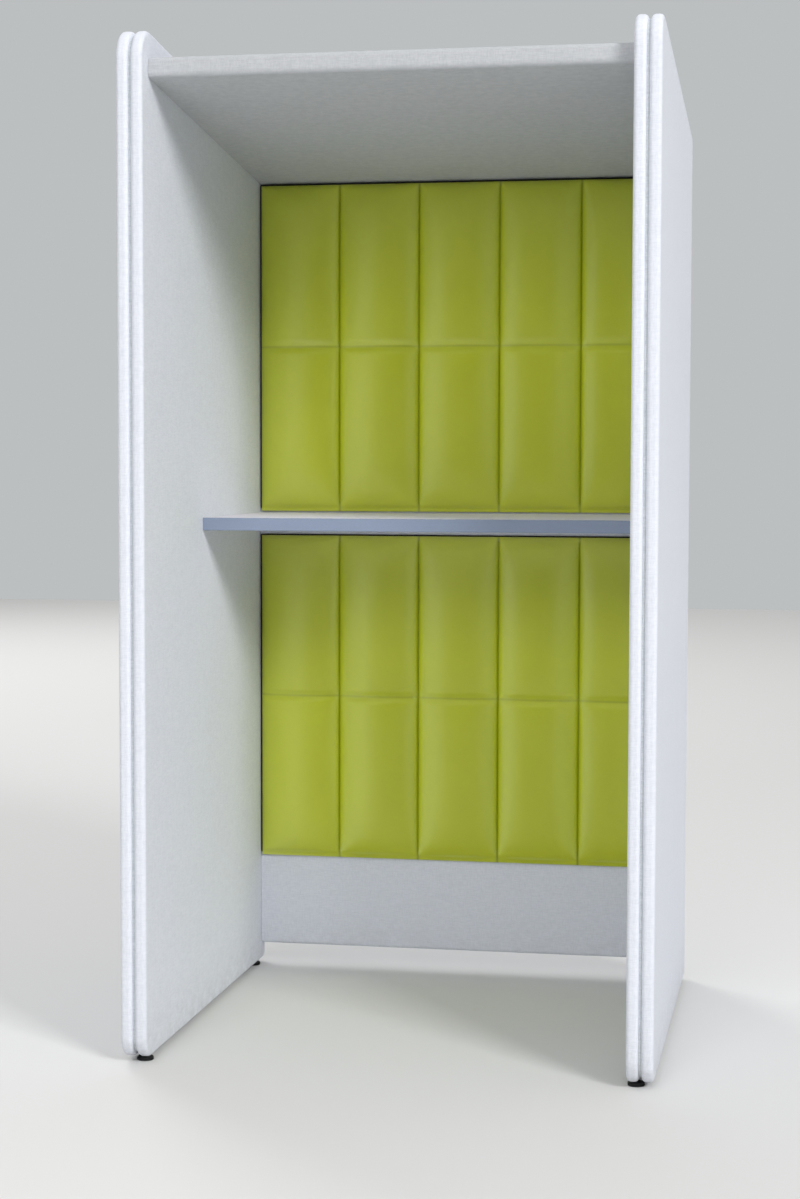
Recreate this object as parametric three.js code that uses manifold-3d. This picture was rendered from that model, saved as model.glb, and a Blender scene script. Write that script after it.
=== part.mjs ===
// Open-fronted acoustic office pod: padded side panels, sloping roof, back panel with quilted pads,
// standing-height worktop and levelling feet. Millimetres, +Z up, the open front faces -Y, and the
// origin is on the floor below the middle of the pod.
import * as THREE from "three";
import { mergeVertices } from "three/addons/utils/BufferGeometryUtils.js";
import Module from "manifold-3d";

const wasm = await Module();
wasm.setup();

// Overall sizes
const OVERALL_WIDTH = 1085;
const OVERALL_DEPTH = 1000;
const FRONT_HEIGHT = 2100;
const TOP_SLOPE_DEG = 6.5;

// Gap between pieces that rest on each other, and between a pin or screw and its hole
const FIT = 0.3;
const HOLE_FIT = 0.4;

// Side panels: two padded halves either side of a recessed core board
const SIDE_HALF = 25;
const CORE_SPACE = 5;
const EDGE_ROLL = 9;
const COVER_WALL = 3;
const COVER_RIM = 12;
const FRONT_TOP_RADIUS = 70;
const FRONT_BOTTOM_RADIUS = 45;
const REAR_RADIUS = 14;
const PANEL_LIFT = 10;

// Timber frame in the inner half of a side panel
const FRAME_TOP_RAIL = 90;
const FRAME_BOTTOM_RAIL = 80;
const FRAME_FRONT_STILE = 60;
const FRAME_REAR_STILE = 70;
const FRAME_SHELF_RAIL = 100;

// Roof panel
const ROOF_SETBACK = 46;
const ROOF_DROP = 54;
const ROOF_THICKNESS = 42;
const ROOF_EDGE_RADIUS = 12;
const END_GAP = 0.5;

// Back panel
const BACK_THICKNESS = 40;
const BACK_LIFT = 52;
const BACK_EDGE_RADIUS = 9;

// Worktop
const SHELF_TOP = 1107;
const SHELF_THICKNESS = 28;
const SHELF_DEPTH = 520;
const EDGE_BAND = 2;

// Quilted pads
const PAD_COLUMNS = 5;
const PAD_ROWS = 2;
const PAD_CROWN = 34;
const PAD_SEAM = 6;
const PAD_HEM = 8;
const PAD_SIDE_GAP = 5;
const PAD_ROOF_GAP = 6;
const PAD_SHELF_GAP = 4;
const LOWER_PAD_DROP = 27;
const LOWER_PAD_BOTTOM = 272;
const BACKING_THICKNESS = 4;
const BACKING_INSET = 6;

// Steel pins that carry the worktop and the back panel
const PIN_RADIUS = 5;
const PIN_IN_PANEL = 16;
const PIN_IN_BOARD = 45;
const SHELF_PIN_INSET = 90;
const BACK_PIN_FOOT = 260;
const BACK_PIN_HEAD = 200;

// Angle brackets on top of the roof, and their pan-head screws
const BRACKET_LEG = 36;
const BRACKET_WIDTH = 44;
const BRACKET_STEEL = 2.5;
const BRACKET_HOLE = 21;
const BRACKET_FRONT_INSET = 150;
const BRACKET_REAR_INSET = 140;
const SCREW_RADIUS = 2;
const SCREW_LENGTH = 22;
const SCREW_HEAD_RADIUS = 4;
const SCREW_HEAD_HEIGHT = 2.4;
const SCREW_HEAD_CROWN = 2;

// Levelling feet
const FOOT_CORNER_GAP = 1;
const FOOT_OFFSET = 10;
const GLIDE_RADIUS = 17;
const GLIDE_HEIGHT = 7;
const GLIDE_EDGE = 2;
const GLIDE_SOCKET = 4;
const STUD_RADIUS = 4;
const STUD_LENGTH = 56;
const INSERT_RADIUS = 6.5;
const INSERT_LENGTH = 25;
const STUD_RUNNING_GAP = 0.25;

// Facets on round pieces and on rounded corners
const ROUND_SIDES = 16;
const SCREW_SIDES = 12;
const CORNER_STEPS = 5;
const ROLL_STEPS = 3;

// Sizes worked out from the driving dimensions
const SLOPE = THREE.MathUtils.degToRad(TOP_SLOPE_DEG);
const SIDE_THICKNESS = 2 * SIDE_HALF + CORE_SPACE;
const INNER_HALF_WIDTH = OVERALL_WIDTH / 2 - SIDE_THICKNESS;
const CORE_INNER = INNER_HALF_WIDTH + SIDE_HALF;
const CORE_OUTER = CORE_INNER + CORE_SPACE;
const FRONT_Y = -OVERALL_DEPTH / 2;
const REAR_Y = OVERALL_DEPTH / 2;
const REAR_HEIGHT = FRONT_HEIGHT - OVERALL_DEPTH * Math.tan(SLOPE);
const BOARD_HALF_WIDTH = INNER_HALF_WIDTH - END_GAP;
const ROOF_FRONT_Y = FRONT_Y + ROOF_SETBACK;
const ROOF_TOP_Z = FRONT_HEIGHT - ROOF_SETBACK * Math.tan(SLOPE) - ROOF_DROP;
const ROOF_LENGTH = (OVERALL_DEPTH - ROOF_SETBACK) / Math.cos(SLOPE);
const BACK_FRONT_Y = REAR_Y - BACK_THICKNESS;
const SHELF_REAR_Y = BACK_FRONT_Y - END_GAP;
const SHELF_FRONT_Y = BACK_FRONT_Y - SHELF_DEPTH;
const SHELF_MIDDLE_Z = SHELF_TOP - SHELF_THICKNESS / 2;
const BACKING_FRONT_Y = BACK_FRONT_Y - FIT - BACKING_THICKNESS;
const PAD_BACK_Y = BACKING_FRONT_Y - FIT;
const BACK_PIN_Y = REAR_Y - BACK_THICKNESS / 2;
const FRAME_FACE = INNER_HALF_WIDTH + COVER_WALL + FIT;
const FOOT_X = OVERALL_WIDTH / 2 - SIDE_THICKNESS / 2 - FOOT_OFFSET;
const FOOT_INSET = FRONT_BOTTOM_RADIUS + INSERT_RADIUS + FOOT_CORNER_GAP;
const FOOT_Y = OVERALL_DEPTH / 2 - FOOT_INSET;
const FRAME_FOOT_Z = PANEL_LIFT + COVER_RIM + FIT;

// Height of the roof's underside above the floor at a given depth
function roofUnderside(y) {
  return ROOF_TOP_Z - (y - ROOF_FRONT_Y) * Math.tan(SLOPE) - ROOF_THICKNESS / Math.cos(SLOPE);
}

const FINISHES = {
  fabric: { color: 0xd7dcdf, roughness: 0.95, metalness: 0 },
  bandFabric: { color: 0xc4cacd, roughness: 0.95, metalness: 0 },
  quilt: { color: 0x93a01f, roughness: 0.45, metalness: 0 },
  laminate: { color: 0x8c9bb0, roughness: 0.35, metalness: 0 },
  timber: { color: 0xc9a878, roughness: 0.8, metalness: 0 },
  absorber: { color: 0x8b8f92, roughness: 1, metalness: 0 },
  steel: { color: 0xb9bcc0, roughness: 0.35, metalness: 1 },
  glide: { color: 0x1c1c1e, roughness: 0.6, metalness: 0 },
};

const pod = new THREE.Group();
pod.name = "acoustic_pod";

// Adds one named piece to a group
function addPiece(group, name, geometry, finish) {
  const mesh = new THREE.Mesh(geometry, new THREE.MeshStandardMaterial(FINISHES[finish]));
  mesh.name = name;
  group.add(mesh);
  return mesh;
}

// A closed geometry as a solid that can be cut
function toSolid(geometry) {
  const bare = geometry.index ? geometry.toNonIndexed() : geometry.clone();
  bare.deleteAttribute("normal");
  bare.deleteAttribute("uv");
  const merged = mergeVertices(bare);
  const mesh = new wasm.Mesh({
    numProp: 3,
    vertProperties: merged.attributes.position.array,
    triVerts: new Uint32Array(merged.index.array),
  });
  return new wasm.Manifold(mesh);
}

function toGeometry(solid) {
  const mesh = solid.getMesh();
  const geometry = new THREE.BufferGeometry();
  geometry.setAttribute("position", new THREE.BufferAttribute(mesh.vertProperties, 3));
  geometry.setIndex(new THREE.BufferAttribute(mesh.triVerts, 1));
  geometry.computeVertexNormals();
  return geometry;
}

// A geometry with holes or pockets taken out of it
function cut(geometry, cutters) {
  let solid = toSolid(geometry);
  for (const cutter of cutters) {
    solid = solid.subtract(toSolid(cutter));
  }
  return toGeometry(solid);
}

// A polygon with its sides moved inwards and its corners rounded, as a shape
// Corners run anticlockwise, each with its place and its radius on the uninset outline
function roundedShape(corners, inset) {
  const points = [];
  corners.forEach((corner, index) => {
    const before = corners[(index + corners.length - 1) % corners.length];
    const after = corners[(index + 1) % corners.length];
    const arriving = corner.at.clone().sub(before.at).normalize();
    const leaving = after.at.clone().sub(corner.at).normalize();
    const turn = Math.acos(THREE.MathUtils.clamp(arriving.dot(leaving), -1, 1));
    const radius = Math.max(corner.radius - inset, FIT);
    const inward = leaving.clone().sub(arriving).normalize();
    const reach = (inset + radius) / Math.cos(turn / 2);
    const centre = corner.at.clone().addScaledVector(inward, reach);
    const start = Math.atan2(-arriving.x, arriving.y);
    for (let step = 0; step <= CORNER_STEPS; step += 1) {
      const angle = start + (turn * step) / CORNER_STEPS;
      const rim = new THREE.Vector2(Math.cos(angle), Math.sin(angle));
      points.push(centre.clone().addScaledVector(rim, radius));
    }
  });
  return new THREE.Shape(points);
}

// The same with sharp corners
function sharpShape(corners, inset) {
  const points = corners.map(({ at }, index) => {
    const before = corners[(index + corners.length - 1) % corners.length].at;
    const after = corners[(index + 1) % corners.length].at;
    const arriving = at.clone().sub(before).normalize();
    const leaving = after.clone().sub(at).normalize();
    const inward = leaving.clone().sub(arriving).normalize();
    const halfTurn = Math.acos(arriving.dot(leaving)) / 2;
    return at.clone().addScaledVector(inward, inset / Math.cos(halfTurn));
  });
  return new THREE.Shape(points);
}

function corner(y, z, radius) {
  return { at: new THREE.Vector2(y, z), radius };
}

// Stands a shape drawn in depth and height upright, and gives it a width from one X to another
function acrossWidth(shape, fromX, toX, roll = 0) {
  const low = Math.min(fromX, toX);
  const high = Math.max(fromX, toX);
  const geometry = new THREE.ExtrudeGeometry(shape, {
    depth: high - low - 2 * roll,
    bevelEnabled: roll > 0,
    bevelThickness: roll,
    bevelSize: roll,
    bevelOffset: -roll,
    bevelSegments: ROLL_STEPS,
  });
  geometry.translate(0, 0, low + roll);
  const toDepth = new THREE.Vector3(0, 1, 0);
  const toHeight = new THREE.Vector3(0, 0, 1);
  const toWidth = new THREE.Vector3(1, 0, 0);
  return geometry.applyMatrix4(new THREE.Matrix4().makeBasis(toDepth, toHeight, toWidth));
}

// A box between two corners
function block(lowX, lowY, lowZ, highX, highY, highZ) {
  const geometry = new THREE.BoxGeometry(highX - lowX, highY - lowY, highZ - lowZ);
  return geometry.translate((lowX + highX) / 2, (lowY + highY) / 2, (lowZ + highZ) / 2);
}

// A round rod along X, at a depth and a height
function rodAcross(radius, fromX, toX, y, z, sides = ROUND_SIDES) {
  const geometry = new THREE.CylinderGeometry(radius, radius, Math.abs(toX - fromX), sides);
  geometry.rotateZ(Math.PI / 2);
  return geometry.translate((fromX + toX) / 2, y, z);
}

// A round rod along Z
function rodUpright(radius, x, y, lowZ, highZ, sides = ROUND_SIDES) {
  const geometry = new THREE.CylinderGeometry(radius, radius, highZ - lowZ, sides);
  geometry.rotateX(Math.PI / 2);
  return geometry.translate(x, y, (lowZ + highZ) / 2);
}

// Side panels

const SIDE_CORNERS = [
  corner(FRONT_Y, PANEL_LIFT, FRONT_BOTTOM_RADIUS),
  corner(REAR_Y, PANEL_LIFT, REAR_RADIUS),
  corner(REAR_Y, REAR_HEIGHT, REAR_RADIUS),
  corner(FRONT_Y, FRONT_HEIGHT, FRONT_TOP_RADIUS),
];

const SHELF_RAIL_LOW = SHELF_MIDDLE_Z - FRAME_SHELF_RAIL / 2;
const SHELF_RAIL_HIGH = SHELF_MIDDLE_Z + FRAME_SHELF_RAIL / 2;
const WINDOW_FRONT_Y = FRONT_Y + COVER_RIM + FRAME_FRONT_STILE;
const WINDOW_REAR_Y = REAR_Y - COVER_RIM - FRAME_REAR_STILE;

// Underside of the frame's sloping top rail
function windowTop(y) {
  const rail = (COVER_RIM + FRAME_TOP_RAIL) / Math.cos(SLOPE);
  return FRONT_HEIGHT - (y - FRONT_Y) * Math.tan(SLOPE) - rail;
}

const UPPER_WINDOW = [
  corner(WINDOW_FRONT_Y, SHELF_RAIL_HIGH, 0),
  corner(WINDOW_REAR_Y, SHELF_RAIL_HIGH, 0),
  corner(WINDOW_REAR_Y, windowTop(WINDOW_REAR_Y), 0),
  corner(WINDOW_FRONT_Y, windowTop(WINDOW_FRONT_Y), 0),
];

const LOWER_WINDOW = [
  corner(WINDOW_FRONT_Y, PANEL_LIFT + COVER_RIM + FRAME_BOTTOM_RAIL, 0),
  corner(WINDOW_REAR_Y, PANEL_LIFT + COVER_RIM + FRAME_BOTTOM_RAIL, 0),
  corner(WINDOW_REAR_Y, SHELF_RAIL_LOW, 0),
  corner(WINDOW_FRONT_Y, SHELF_RAIL_LOW, 0),
];

const SHELF_PIN_DEPTHS = [SHELF_FRONT_Y + SHELF_PIN_INSET, SHELF_REAR_Y - SHELF_PIN_INSET];
const BACK_PIN_HEIGHTS = [BACK_LIFT + BACK_PIN_FOOT, roofUnderside(BACK_PIN_Y) - BACK_PIN_HEAD];
const PIN_PLACES = [
  ...SHELF_PIN_DEPTHS.map((y) => ({ y, z: SHELF_MIDDLE_Z })),
  ...BACK_PIN_HEIGHTS.map((z) => ({ y: BACK_PIN_Y, z })),
];
const PIN_PANEL_END = FRAME_FACE + PIN_IN_PANEL;
const PIN_BOARD_END = BOARD_HALF_WIDTH - PIN_IN_BOARD;

// The roof's own frame: its origin is the top of the front edge, and it falls to the rear
const roofGroup = new THREE.Group();
roofGroup.position.set(0, ROOF_FRONT_Y, ROOF_TOP_Z);
roofGroup.rotation.x = -SLOPE;
roofGroup.updateMatrix();
const BRACKET_PLACES = {
  front: BRACKET_FRONT_INSET,
  rear: ROOF_LENGTH - BRACKET_REAR_INSET,
};

// A cutter that stands in the roof's frame, moved into the pod's frame
function fromRoof(geometry) {
  return geometry.applyMatrix4(roofGroup.matrix);
}

function pinHoles(side, fit) {
  const from = side * (PIN_BOARD_END - FIT);
  const to = side * (PIN_PANEL_END + FIT);
  return PIN_PLACES.map(({ y, z }) => rodAcross(PIN_RADIUS + fit, from, to, y, z));
}

function bracketSideHoles(side) {
  const from = side * (INNER_HALF_WIDTH - SCREW_LENGTH);
  const to = side * (INNER_HALF_WIDTH + SCREW_LENGTH);
  const radius = SCREW_RADIUS + HOLE_FIT;
  return Object.values(BRACKET_PLACES).map((along) =>
    fromRoof(rodAcross(radius, from, to, along, BRACKET_HOLE, SCREW_SIDES)),
  );
}

function footHoles(side, radius, lowZ, highZ) {
  return [-FOOT_Y, FOOT_Y].map((y) => rodUpright(radius, side * FOOT_X, y, lowZ, highZ));
}

// A padded half: its cover is a tray with rolled edges, open towards the core board
function coverTray(side, faceX, coreX) {
  const facing = Math.sign(coreX - faceX);
  const rolled = acrossWidth(roundedShape(SIDE_CORNERS, 0), side * faceX, side * coreX, EDGE_ROLL);
  const floorX = faceX + facing * COVER_WALL;
  const mouthX = coreX + facing * COVER_WALL;
  const hollow = acrossWidth(roundedShape(SIDE_CORNERS, COVER_RIM), side * floorX, side * mouthX);
  return cut(rolled, [hollow]);
}

function innerFrame(side) {
  const shape = roundedShape(SIDE_CORNERS, COVER_RIM + FIT);
  shape.holes.push(sharpShape(UPPER_WINDOW, 0), sharpShape(LOWER_WINDOW, 0));
  const frame = acrossWidth(shape, side * FRAME_FACE, side * (CORE_INNER - FIT));
  const insertTop = FRAME_FOOT_Z + INSERT_LENGTH;
  const studTop = GLIDE_SOCKET + STUD_LENGTH + STUD_RADIUS;
  return cut(frame, [
    ...pinHoles(side, HOLE_FIT),
    ...bracketSideHoles(side),
    ...footHoles(side, INSERT_RADIUS + HOLE_FIT, PANEL_LIFT, insertTop + FIT),
    ...footHoles(side, STUD_RADIUS + HOLE_FIT, PANEL_LIFT, studTop),
  ]);
}

function addSidePanel(sideName, side) {
  const piece = (name, geometry, finish) => addPiece(pod, `${sideName}_${name}`, geometry, finish);
  const innerTray = coverTray(side, INNER_HALF_WIDTH, CORE_INNER - FIT);
  const innerCover = cut(innerTray, [
    ...pinHoles(side, HOLE_FIT),
    ...bracketSideHoles(side),
    ...footHoles(side, STUD_RADIUS + HOLE_FIT, 0, FRAME_FOOT_Z + COVER_RIM),
  ]);
  piece("inner_cover", innerCover, "fabric");
  piece("outer_cover", coverTray(side, OVERALL_WIDTH / 2, CORE_OUTER + FIT), "fabric");
  const coreShape = roundedShape(SIDE_CORNERS, EDGE_ROLL);
  piece("core_board", acrossWidth(coreShape, side * CORE_INNER, side * CORE_OUTER), "bandFabric");
  piece("inner_frame", innerFrame(side), "timber");
  const infills = { upper_infill: UPPER_WINDOW, lower_infill: LOWER_WINDOW };
  for (const [name, window] of Object.entries(infills)) {
    const shape = sharpShape(window, FIT);
    piece(name, acrossWidth(shape, side * FRAME_FACE, side * (CORE_INNER - FIT)), "absorber");
  }
  const outerShape = roundedShape(SIDE_CORNERS, COVER_RIM + FIT);
  const outerFace = OVERALL_WIDTH / 2 - COVER_WALL - FIT;
  const outerInfill = acrossWidth(outerShape, side * (CORE_OUTER + FIT), side * outerFace);
  piece("outer_infill", outerInfill, "absorber");
}

// Levelling feet: glide pad with a socket, stud, and the threaded insert in the frame

function lathe(points, sides) {
  const geometry = new THREE.LatheGeometry(points, sides);
  return geometry.rotateX(Math.PI / 2);
}

function glidePad() {
  const socket = STUD_RADIUS + FIT;
  return lathe(
    [
      new THREE.Vector2(0, 0),
      new THREE.Vector2(GLIDE_RADIUS, 0),
      new THREE.Vector2(GLIDE_RADIUS, GLIDE_HEIGHT - GLIDE_EDGE),
      new THREE.Vector2(GLIDE_RADIUS - GLIDE_EDGE, GLIDE_HEIGHT),
      new THREE.Vector2(socket, GLIDE_HEIGHT),
      new THREE.Vector2(socket, GLIDE_SOCKET - FIT),
      new THREE.Vector2(0, GLIDE_SOCKET - FIT),
    ],
    ROUND_SIDES,
  );
}

function threadedInsert() {
  const bore = STUD_RADIUS + STUD_RUNNING_GAP;
  return lathe(
    [
      new THREE.Vector2(bore, 0),
      new THREE.Vector2(INSERT_RADIUS, 0),
      new THREE.Vector2(INSERT_RADIUS, INSERT_LENGTH),
      new THREE.Vector2(bore, INSERT_LENGTH),
      new THREE.Vector2(bore, 0),
    ],
    ROUND_SIDES,
  );
}

function addFoot(name, x, y) {
  const foot = new THREE.Group();
  foot.position.set(x, y, 0);
  pod.add(foot);
  addPiece(foot, `${name}_glide`, glidePad(), "glide");
  const stud = rodUpright(STUD_RADIUS, 0, 0, GLIDE_SOCKET, GLIDE_SOCKET + STUD_LENGTH);
  addPiece(foot, `${name}_stud`, stud, "steel");
  const insert = addPiece(foot, `${name}_insert`, threadedInsert(), "steel");
  insert.position.z = FRAME_FOOT_Z;
}

// Roof: a fabric sleeve round a core board, held by brackets on its top

const ROOF_CORNERS = [
  corner(0, -ROOF_THICKNESS, ROOF_EDGE_RADIUS),
  corner(ROOF_LENGTH, -ROOF_THICKNESS, ROOF_EDGE_RADIUS),
  corner(ROOF_LENGTH, 0, ROOF_EDGE_RADIUS),
  corner(0, 0, ROOF_EDGE_RADIUS),
];

function sleeve(corners) {
  const shape = roundedShape(corners, 0);
  shape.holes.push(new THREE.Path(roundedShape(corners, COVER_WALL).getPoints()));
  return acrossWidth(shape, -BOARD_HALF_WIDTH, BOARD_HALF_WIDTH);
}

function sleeveCore(corners) {
  const shape = roundedShape(corners, COVER_WALL + FIT);
  return acrossWidth(shape, -BOARD_HALF_WIDTH, BOARD_HALF_WIDTH);
}

function panHeadScrew() {
  return lathe(
    [
      new THREE.Vector2(0, -SCREW_LENGTH),
      new THREE.Vector2(SCREW_RADIUS, -SCREW_LENGTH),
      new THREE.Vector2(SCREW_RADIUS, 0),
      new THREE.Vector2(SCREW_HEAD_RADIUS, 0),
      new THREE.Vector2(SCREW_HEAD_RADIUS, SCREW_HEAD_HEIGHT / 2),
      new THREE.Vector2(SCREW_HEAD_CROWN, SCREW_HEAD_HEIGHT),
      new THREE.Vector2(0, SCREW_HEAD_HEIGHT),
    ],
    SCREW_SIDES,
  );
}

function bracketRoofX(side) {
  return side * (INNER_HALF_WIDTH - FIT - BRACKET_HOLE);
}

function roofScrewHoles() {
  const holes = [];
  for (const side of [-1, 1]) {
    for (const along of Object.values(BRACKET_PLACES)) {
      const radius = SCREW_RADIUS + HOLE_FIT;
      const depth = -SCREW_LENGTH - FIT;
      holes.push(rodUpright(radius, bracketRoofX(side), along, depth, BRACKET_LEG, SCREW_SIDES));
    }
  }
  return holes;
}

// An angle bracket in the corner between the roof's top and a side panel
function angleBracket(side, along) {
  const wallX = INNER_HALF_WIDTH - FIT;
  const outline = new THREE.Shape([
    new THREE.Vector2(0, 0),
    new THREE.Vector2(BRACKET_LEG, 0),
    new THREE.Vector2(BRACKET_LEG, BRACKET_STEEL),
    new THREE.Vector2(BRACKET_STEEL, BRACKET_STEEL),
    new THREE.Vector2(BRACKET_STEEL, BRACKET_LEG),
    new THREE.Vector2(0, BRACKET_LEG),
  ]);
  const plate = new THREE.ExtrudeGeometry(outline, { depth: BRACKET_WIDTH, bevelEnabled: false });
  plate.rotateX(Math.PI / 2);
  if (side > 0) {
    plate.rotateZ(Math.PI);
    plate.translate(wallX, along - BRACKET_WIDTH / 2, FIT);
  } else {
    plate.translate(-wallX, along + BRACKET_WIDTH / 2, FIT);
  }
  const radius = SCREW_RADIUS + HOLE_FIT;
  const fromX = side * (wallX - BRACKET_HOLE / 2);
  const toX = side * INNER_HALF_WIDTH;
  return cut(plate, [
    rodUpright(radius, bracketRoofX(side), along, -BRACKET_HOLE / 2, BRACKET_HOLE / 2, SCREW_SIDES),
    rodAcross(radius, fromX, toX, along, BRACKET_HOLE, SCREW_SIDES),
  ]);
}

function addBracket(name, side, along) {
  addPiece(roofGroup, `${name}_bracket`, angleBracket(side, along), "steel");
  const down = addPiece(roofGroup, `${name}_roof_screw`, panHeadScrew(), "steel");
  down.position.set(bracketRoofX(side), along, BRACKET_STEEL + 2 * FIT);
  const outward = addPiece(roofGroup, `${name}_side_screw`, panHeadScrew(), "steel");
  outward.position.set(side * (INNER_HALF_WIDTH - BRACKET_STEEL - 2 * FIT), along, BRACKET_HOLE);
  outward.rotation.y = (-side * Math.PI) / 2;
}

function addRoof() {
  pod.add(roofGroup);
  addPiece(roofGroup, "roof_cover", cut(sleeve(ROOF_CORNERS), roofScrewHoles()), "fabric");
  addPiece(roofGroup, "roof_core", cut(sleeveCore(ROOF_CORNERS), roofScrewHoles()), "timber");
  for (const [sideName, side] of [["left", -1], ["right", 1]]) {
    for (const [place, along] of Object.entries(BRACKET_PLACES)) {
      addBracket(`${place}_${sideName}`, side, along);
    }
  }
}

// Back panel: a fabric sleeve round a core board, its top cut to the roof's slope

function addBack() {
  const corners = [
    corner(BACK_FRONT_Y, BACK_LIFT, BACK_EDGE_RADIUS),
    corner(REAR_Y, BACK_LIFT, BACK_EDGE_RADIUS),
    corner(REAR_Y, roofUnderside(REAR_Y) - END_GAP, BACK_EDGE_RADIUS),
    corner(BACK_FRONT_Y, roofUnderside(BACK_FRONT_Y) - END_GAP, BACK_EDGE_RADIUS),
  ];
  const holes = [...pinHoles(-1, HOLE_FIT), ...pinHoles(1, HOLE_FIT)];
  addPiece(pod, "back_cover", sleeve(corners), "fabric");
  addPiece(pod, "back_core", cut(sleeveCore(corners), holes), "timber");
}

// Worktop on steel pins

function addShelf() {
  const bandRearY = SHELF_FRONT_Y + EDGE_BAND;
  const low = SHELF_TOP - SHELF_THICKNESS;
  const board = block(
    -BOARD_HALF_WIDTH, bandRearY + FIT, low,
    BOARD_HALF_WIDTH, SHELF_REAR_Y, SHELF_TOP,
  );
  const band = block(
    -BOARD_HALF_WIDTH, SHELF_FRONT_Y, low,
    BOARD_HALF_WIDTH, bandRearY, SHELF_TOP,
  );
  const holes = [...pinHoles(-1, HOLE_FIT), ...pinHoles(1, HOLE_FIT)];
  addPiece(pod, "shelf_board", cut(board, holes), "laminate");
  addPiece(pod, "shelf_edge_band", band, "laminate");
}

function addPins() {
  const names = ["shelf_front_pin", "shelf_rear_pin", "back_lower_pin", "back_upper_pin"];
  for (const [sideName, side] of [["left", -1], ["right", 1]]) {
    PIN_PLACES.forEach(({ y, z }, index) => {
      const pin = rodAcross(PIN_RADIUS, side * PIN_BOARD_END, side * PIN_PANEL_END, y, z);
      addPiece(pod, `${sideName}_${names[index]}`, pin, "steel");
    });
  }
}

// Quilted pads: crowned tiles with sewn channels between them, on thin backing boards

// Places of the grid lines across one tile, close together beside the channels
const TILE_STEPS_ACROSS = [0, 0.06, 0.22, 0.5, 0.78, 0.94];
const TILE_STEPS_UP = [0, 0.03, 0.11, 0.3, 0.5, 0.7, 0.89, 0.97];
const CROWN_FULLNESS = 0.42;
// The fold between two rows: how much of the crown it takes, and how far up and down it reaches
const FOLD_DIP = 0.3;
const FOLD_REACH = 42;

function gridLines(from, to, tiles, steps) {
  const pitch = (to - from) / tiles;
  const lines = [];
  for (let tile = 0; tile < tiles; tile += 1) {
    for (const step of steps) {
      lines.push({ place: from + pitch * (tile + step), share: step });
    }
  }
  lines.push({ place: to, share: 0 });
  return lines;
}

// The vertices round the edge of a grid of rows, from its first corner along its first row
function rimOfGrid(wide, high) {
  const rim = [];
  for (let c = 0; c + 1 < wide; c += 1) {
    rim.push(c);
  }
  for (let r = 0; r + 1 < high; r += 1) {
    rim.push(r * wide + wide - 1);
  }
  for (let c = wide - 1; c > 0; c -= 1) {
    rim.push((high - 1) * wide + c);
  }
  for (let r = high - 1; r > 0; r -= 1) {
    rim.push(r * wide);
  }
  return rim;
}

// One pad: a front of crowned tiles above a flat hem, straight sides and a flat back
function quiltedPad(lowZ, highZ) {
  const halfWidth = INNER_HALF_WIDTH - PAD_SIDE_GAP;
  const columns = gridLines(-halfWidth, halfWidth, PAD_COLUMNS, TILE_STEPS_ACROSS);
  const hem = { place: lowZ, share: 0 };
  const rows = [hem, ...gridLines(lowZ + PAD_HEM, highZ, PAD_ROWS, TILE_STEPS_UP)];
  const swell = (share) => Math.sin(Math.PI * share) ** CROWN_FULLNESS;
  const columnPitch = 2 * halfWidth / PAD_COLUMNS;
  const rowPitch = (highZ - lowZ - PAD_HEM) / PAD_ROWS;
  const rise = (z) => {
    const fromFoot = z - lowZ - PAD_HEM;
    const inside = Math.max(0, Math.min(fromFoot, highZ - z));
    const nearest = Math.min(Math.max(Math.round(fromFoot / rowPitch), 1), PAD_ROWS - 1);
    const away = Math.abs(fromFoot - nearest * rowPitch);
    return swell(Math.min(inside / columnPitch, 0.5)) * (1 - FOLD_DIP * Math.max(0, 1 - away / FOLD_REACH));
  };
  const positions = [];
  const index = [];
  for (const row of rows) {
    for (const column of columns) {
      const crown = (PAD_CROWN - PAD_SEAM) * rise(row.place) * swell(column.share);
      positions.push(column.place, PAD_BACK_Y - PAD_SEAM - crown, row.place);
    }
  }
  const wide = columns.length;
  for (let r = 0; r + 1 < rows.length; r += 1) {
    for (let c = 0; c + 1 < wide; c += 1) {
      const a = r * wide + c;
      index.push(a, a + 1, a + wide + 1, a, a + wide + 1, a + wide);
    }
  }
  const rim = rimOfGrid(wide, rows.length);
  const backStart = positions.length / 3;
  for (const vertex of rim) {
    positions.push(positions[3 * vertex], PAD_BACK_Y, positions[3 * vertex + 2]);
  }
  const middle = positions.length / 3;
  positions.push(0, PAD_BACK_Y, (lowZ + highZ) / 2);
  rim.forEach((vertex, place) => {
    const next = (place + 1) % rim.length;
    index.push(rim[next], vertex, backStart + place);
    index.push(rim[next], backStart + place, backStart + next);
    index.push(backStart + next, backStart + place, middle);
  });
  const geometry = new THREE.BufferGeometry();
  geometry.setAttribute("position", new THREE.Float32BufferAttribute(positions, 3));
  geometry.setIndex(index);
  geometry.computeVertexNormals();
  return geometry;
}

function addPad(name, lowZ, highZ) {
  addPiece(pod, `${name}_pad`, quiltedPad(lowZ, highZ), "quilt");
  const halfWidth = INNER_HALF_WIDTH - PAD_SIDE_GAP - BACKING_INSET;
  const backing = block(
    -halfWidth, BACKING_FRONT_Y, lowZ + BACKING_INSET,
    halfWidth, BACK_FRONT_Y - FIT, highZ - BACKING_INSET,
  );
  addPiece(pod, `${name}_backing`, backing, "timber");
}

addSidePanel("left", -1);
addSidePanel("right", 1);
for (const [place, y] of [["front", -FOOT_Y], ["rear", FOOT_Y]]) {
  addFoot(`${place}_left_foot`, -FOOT_X, y);
  addFoot(`${place}_right_foot`, FOOT_X, y);
}
addRoof();
addBack();
addShelf();
addPins();
addPad("upper", SHELF_TOP + PAD_SHELF_GAP, roofUnderside(PAD_BACK_Y) - PAD_ROOF_GAP);
addPad("lower", LOWER_PAD_BOTTOM, SHELF_TOP - SHELF_THICKNESS - LOWER_PAD_DROP);

export default pod;
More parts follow.
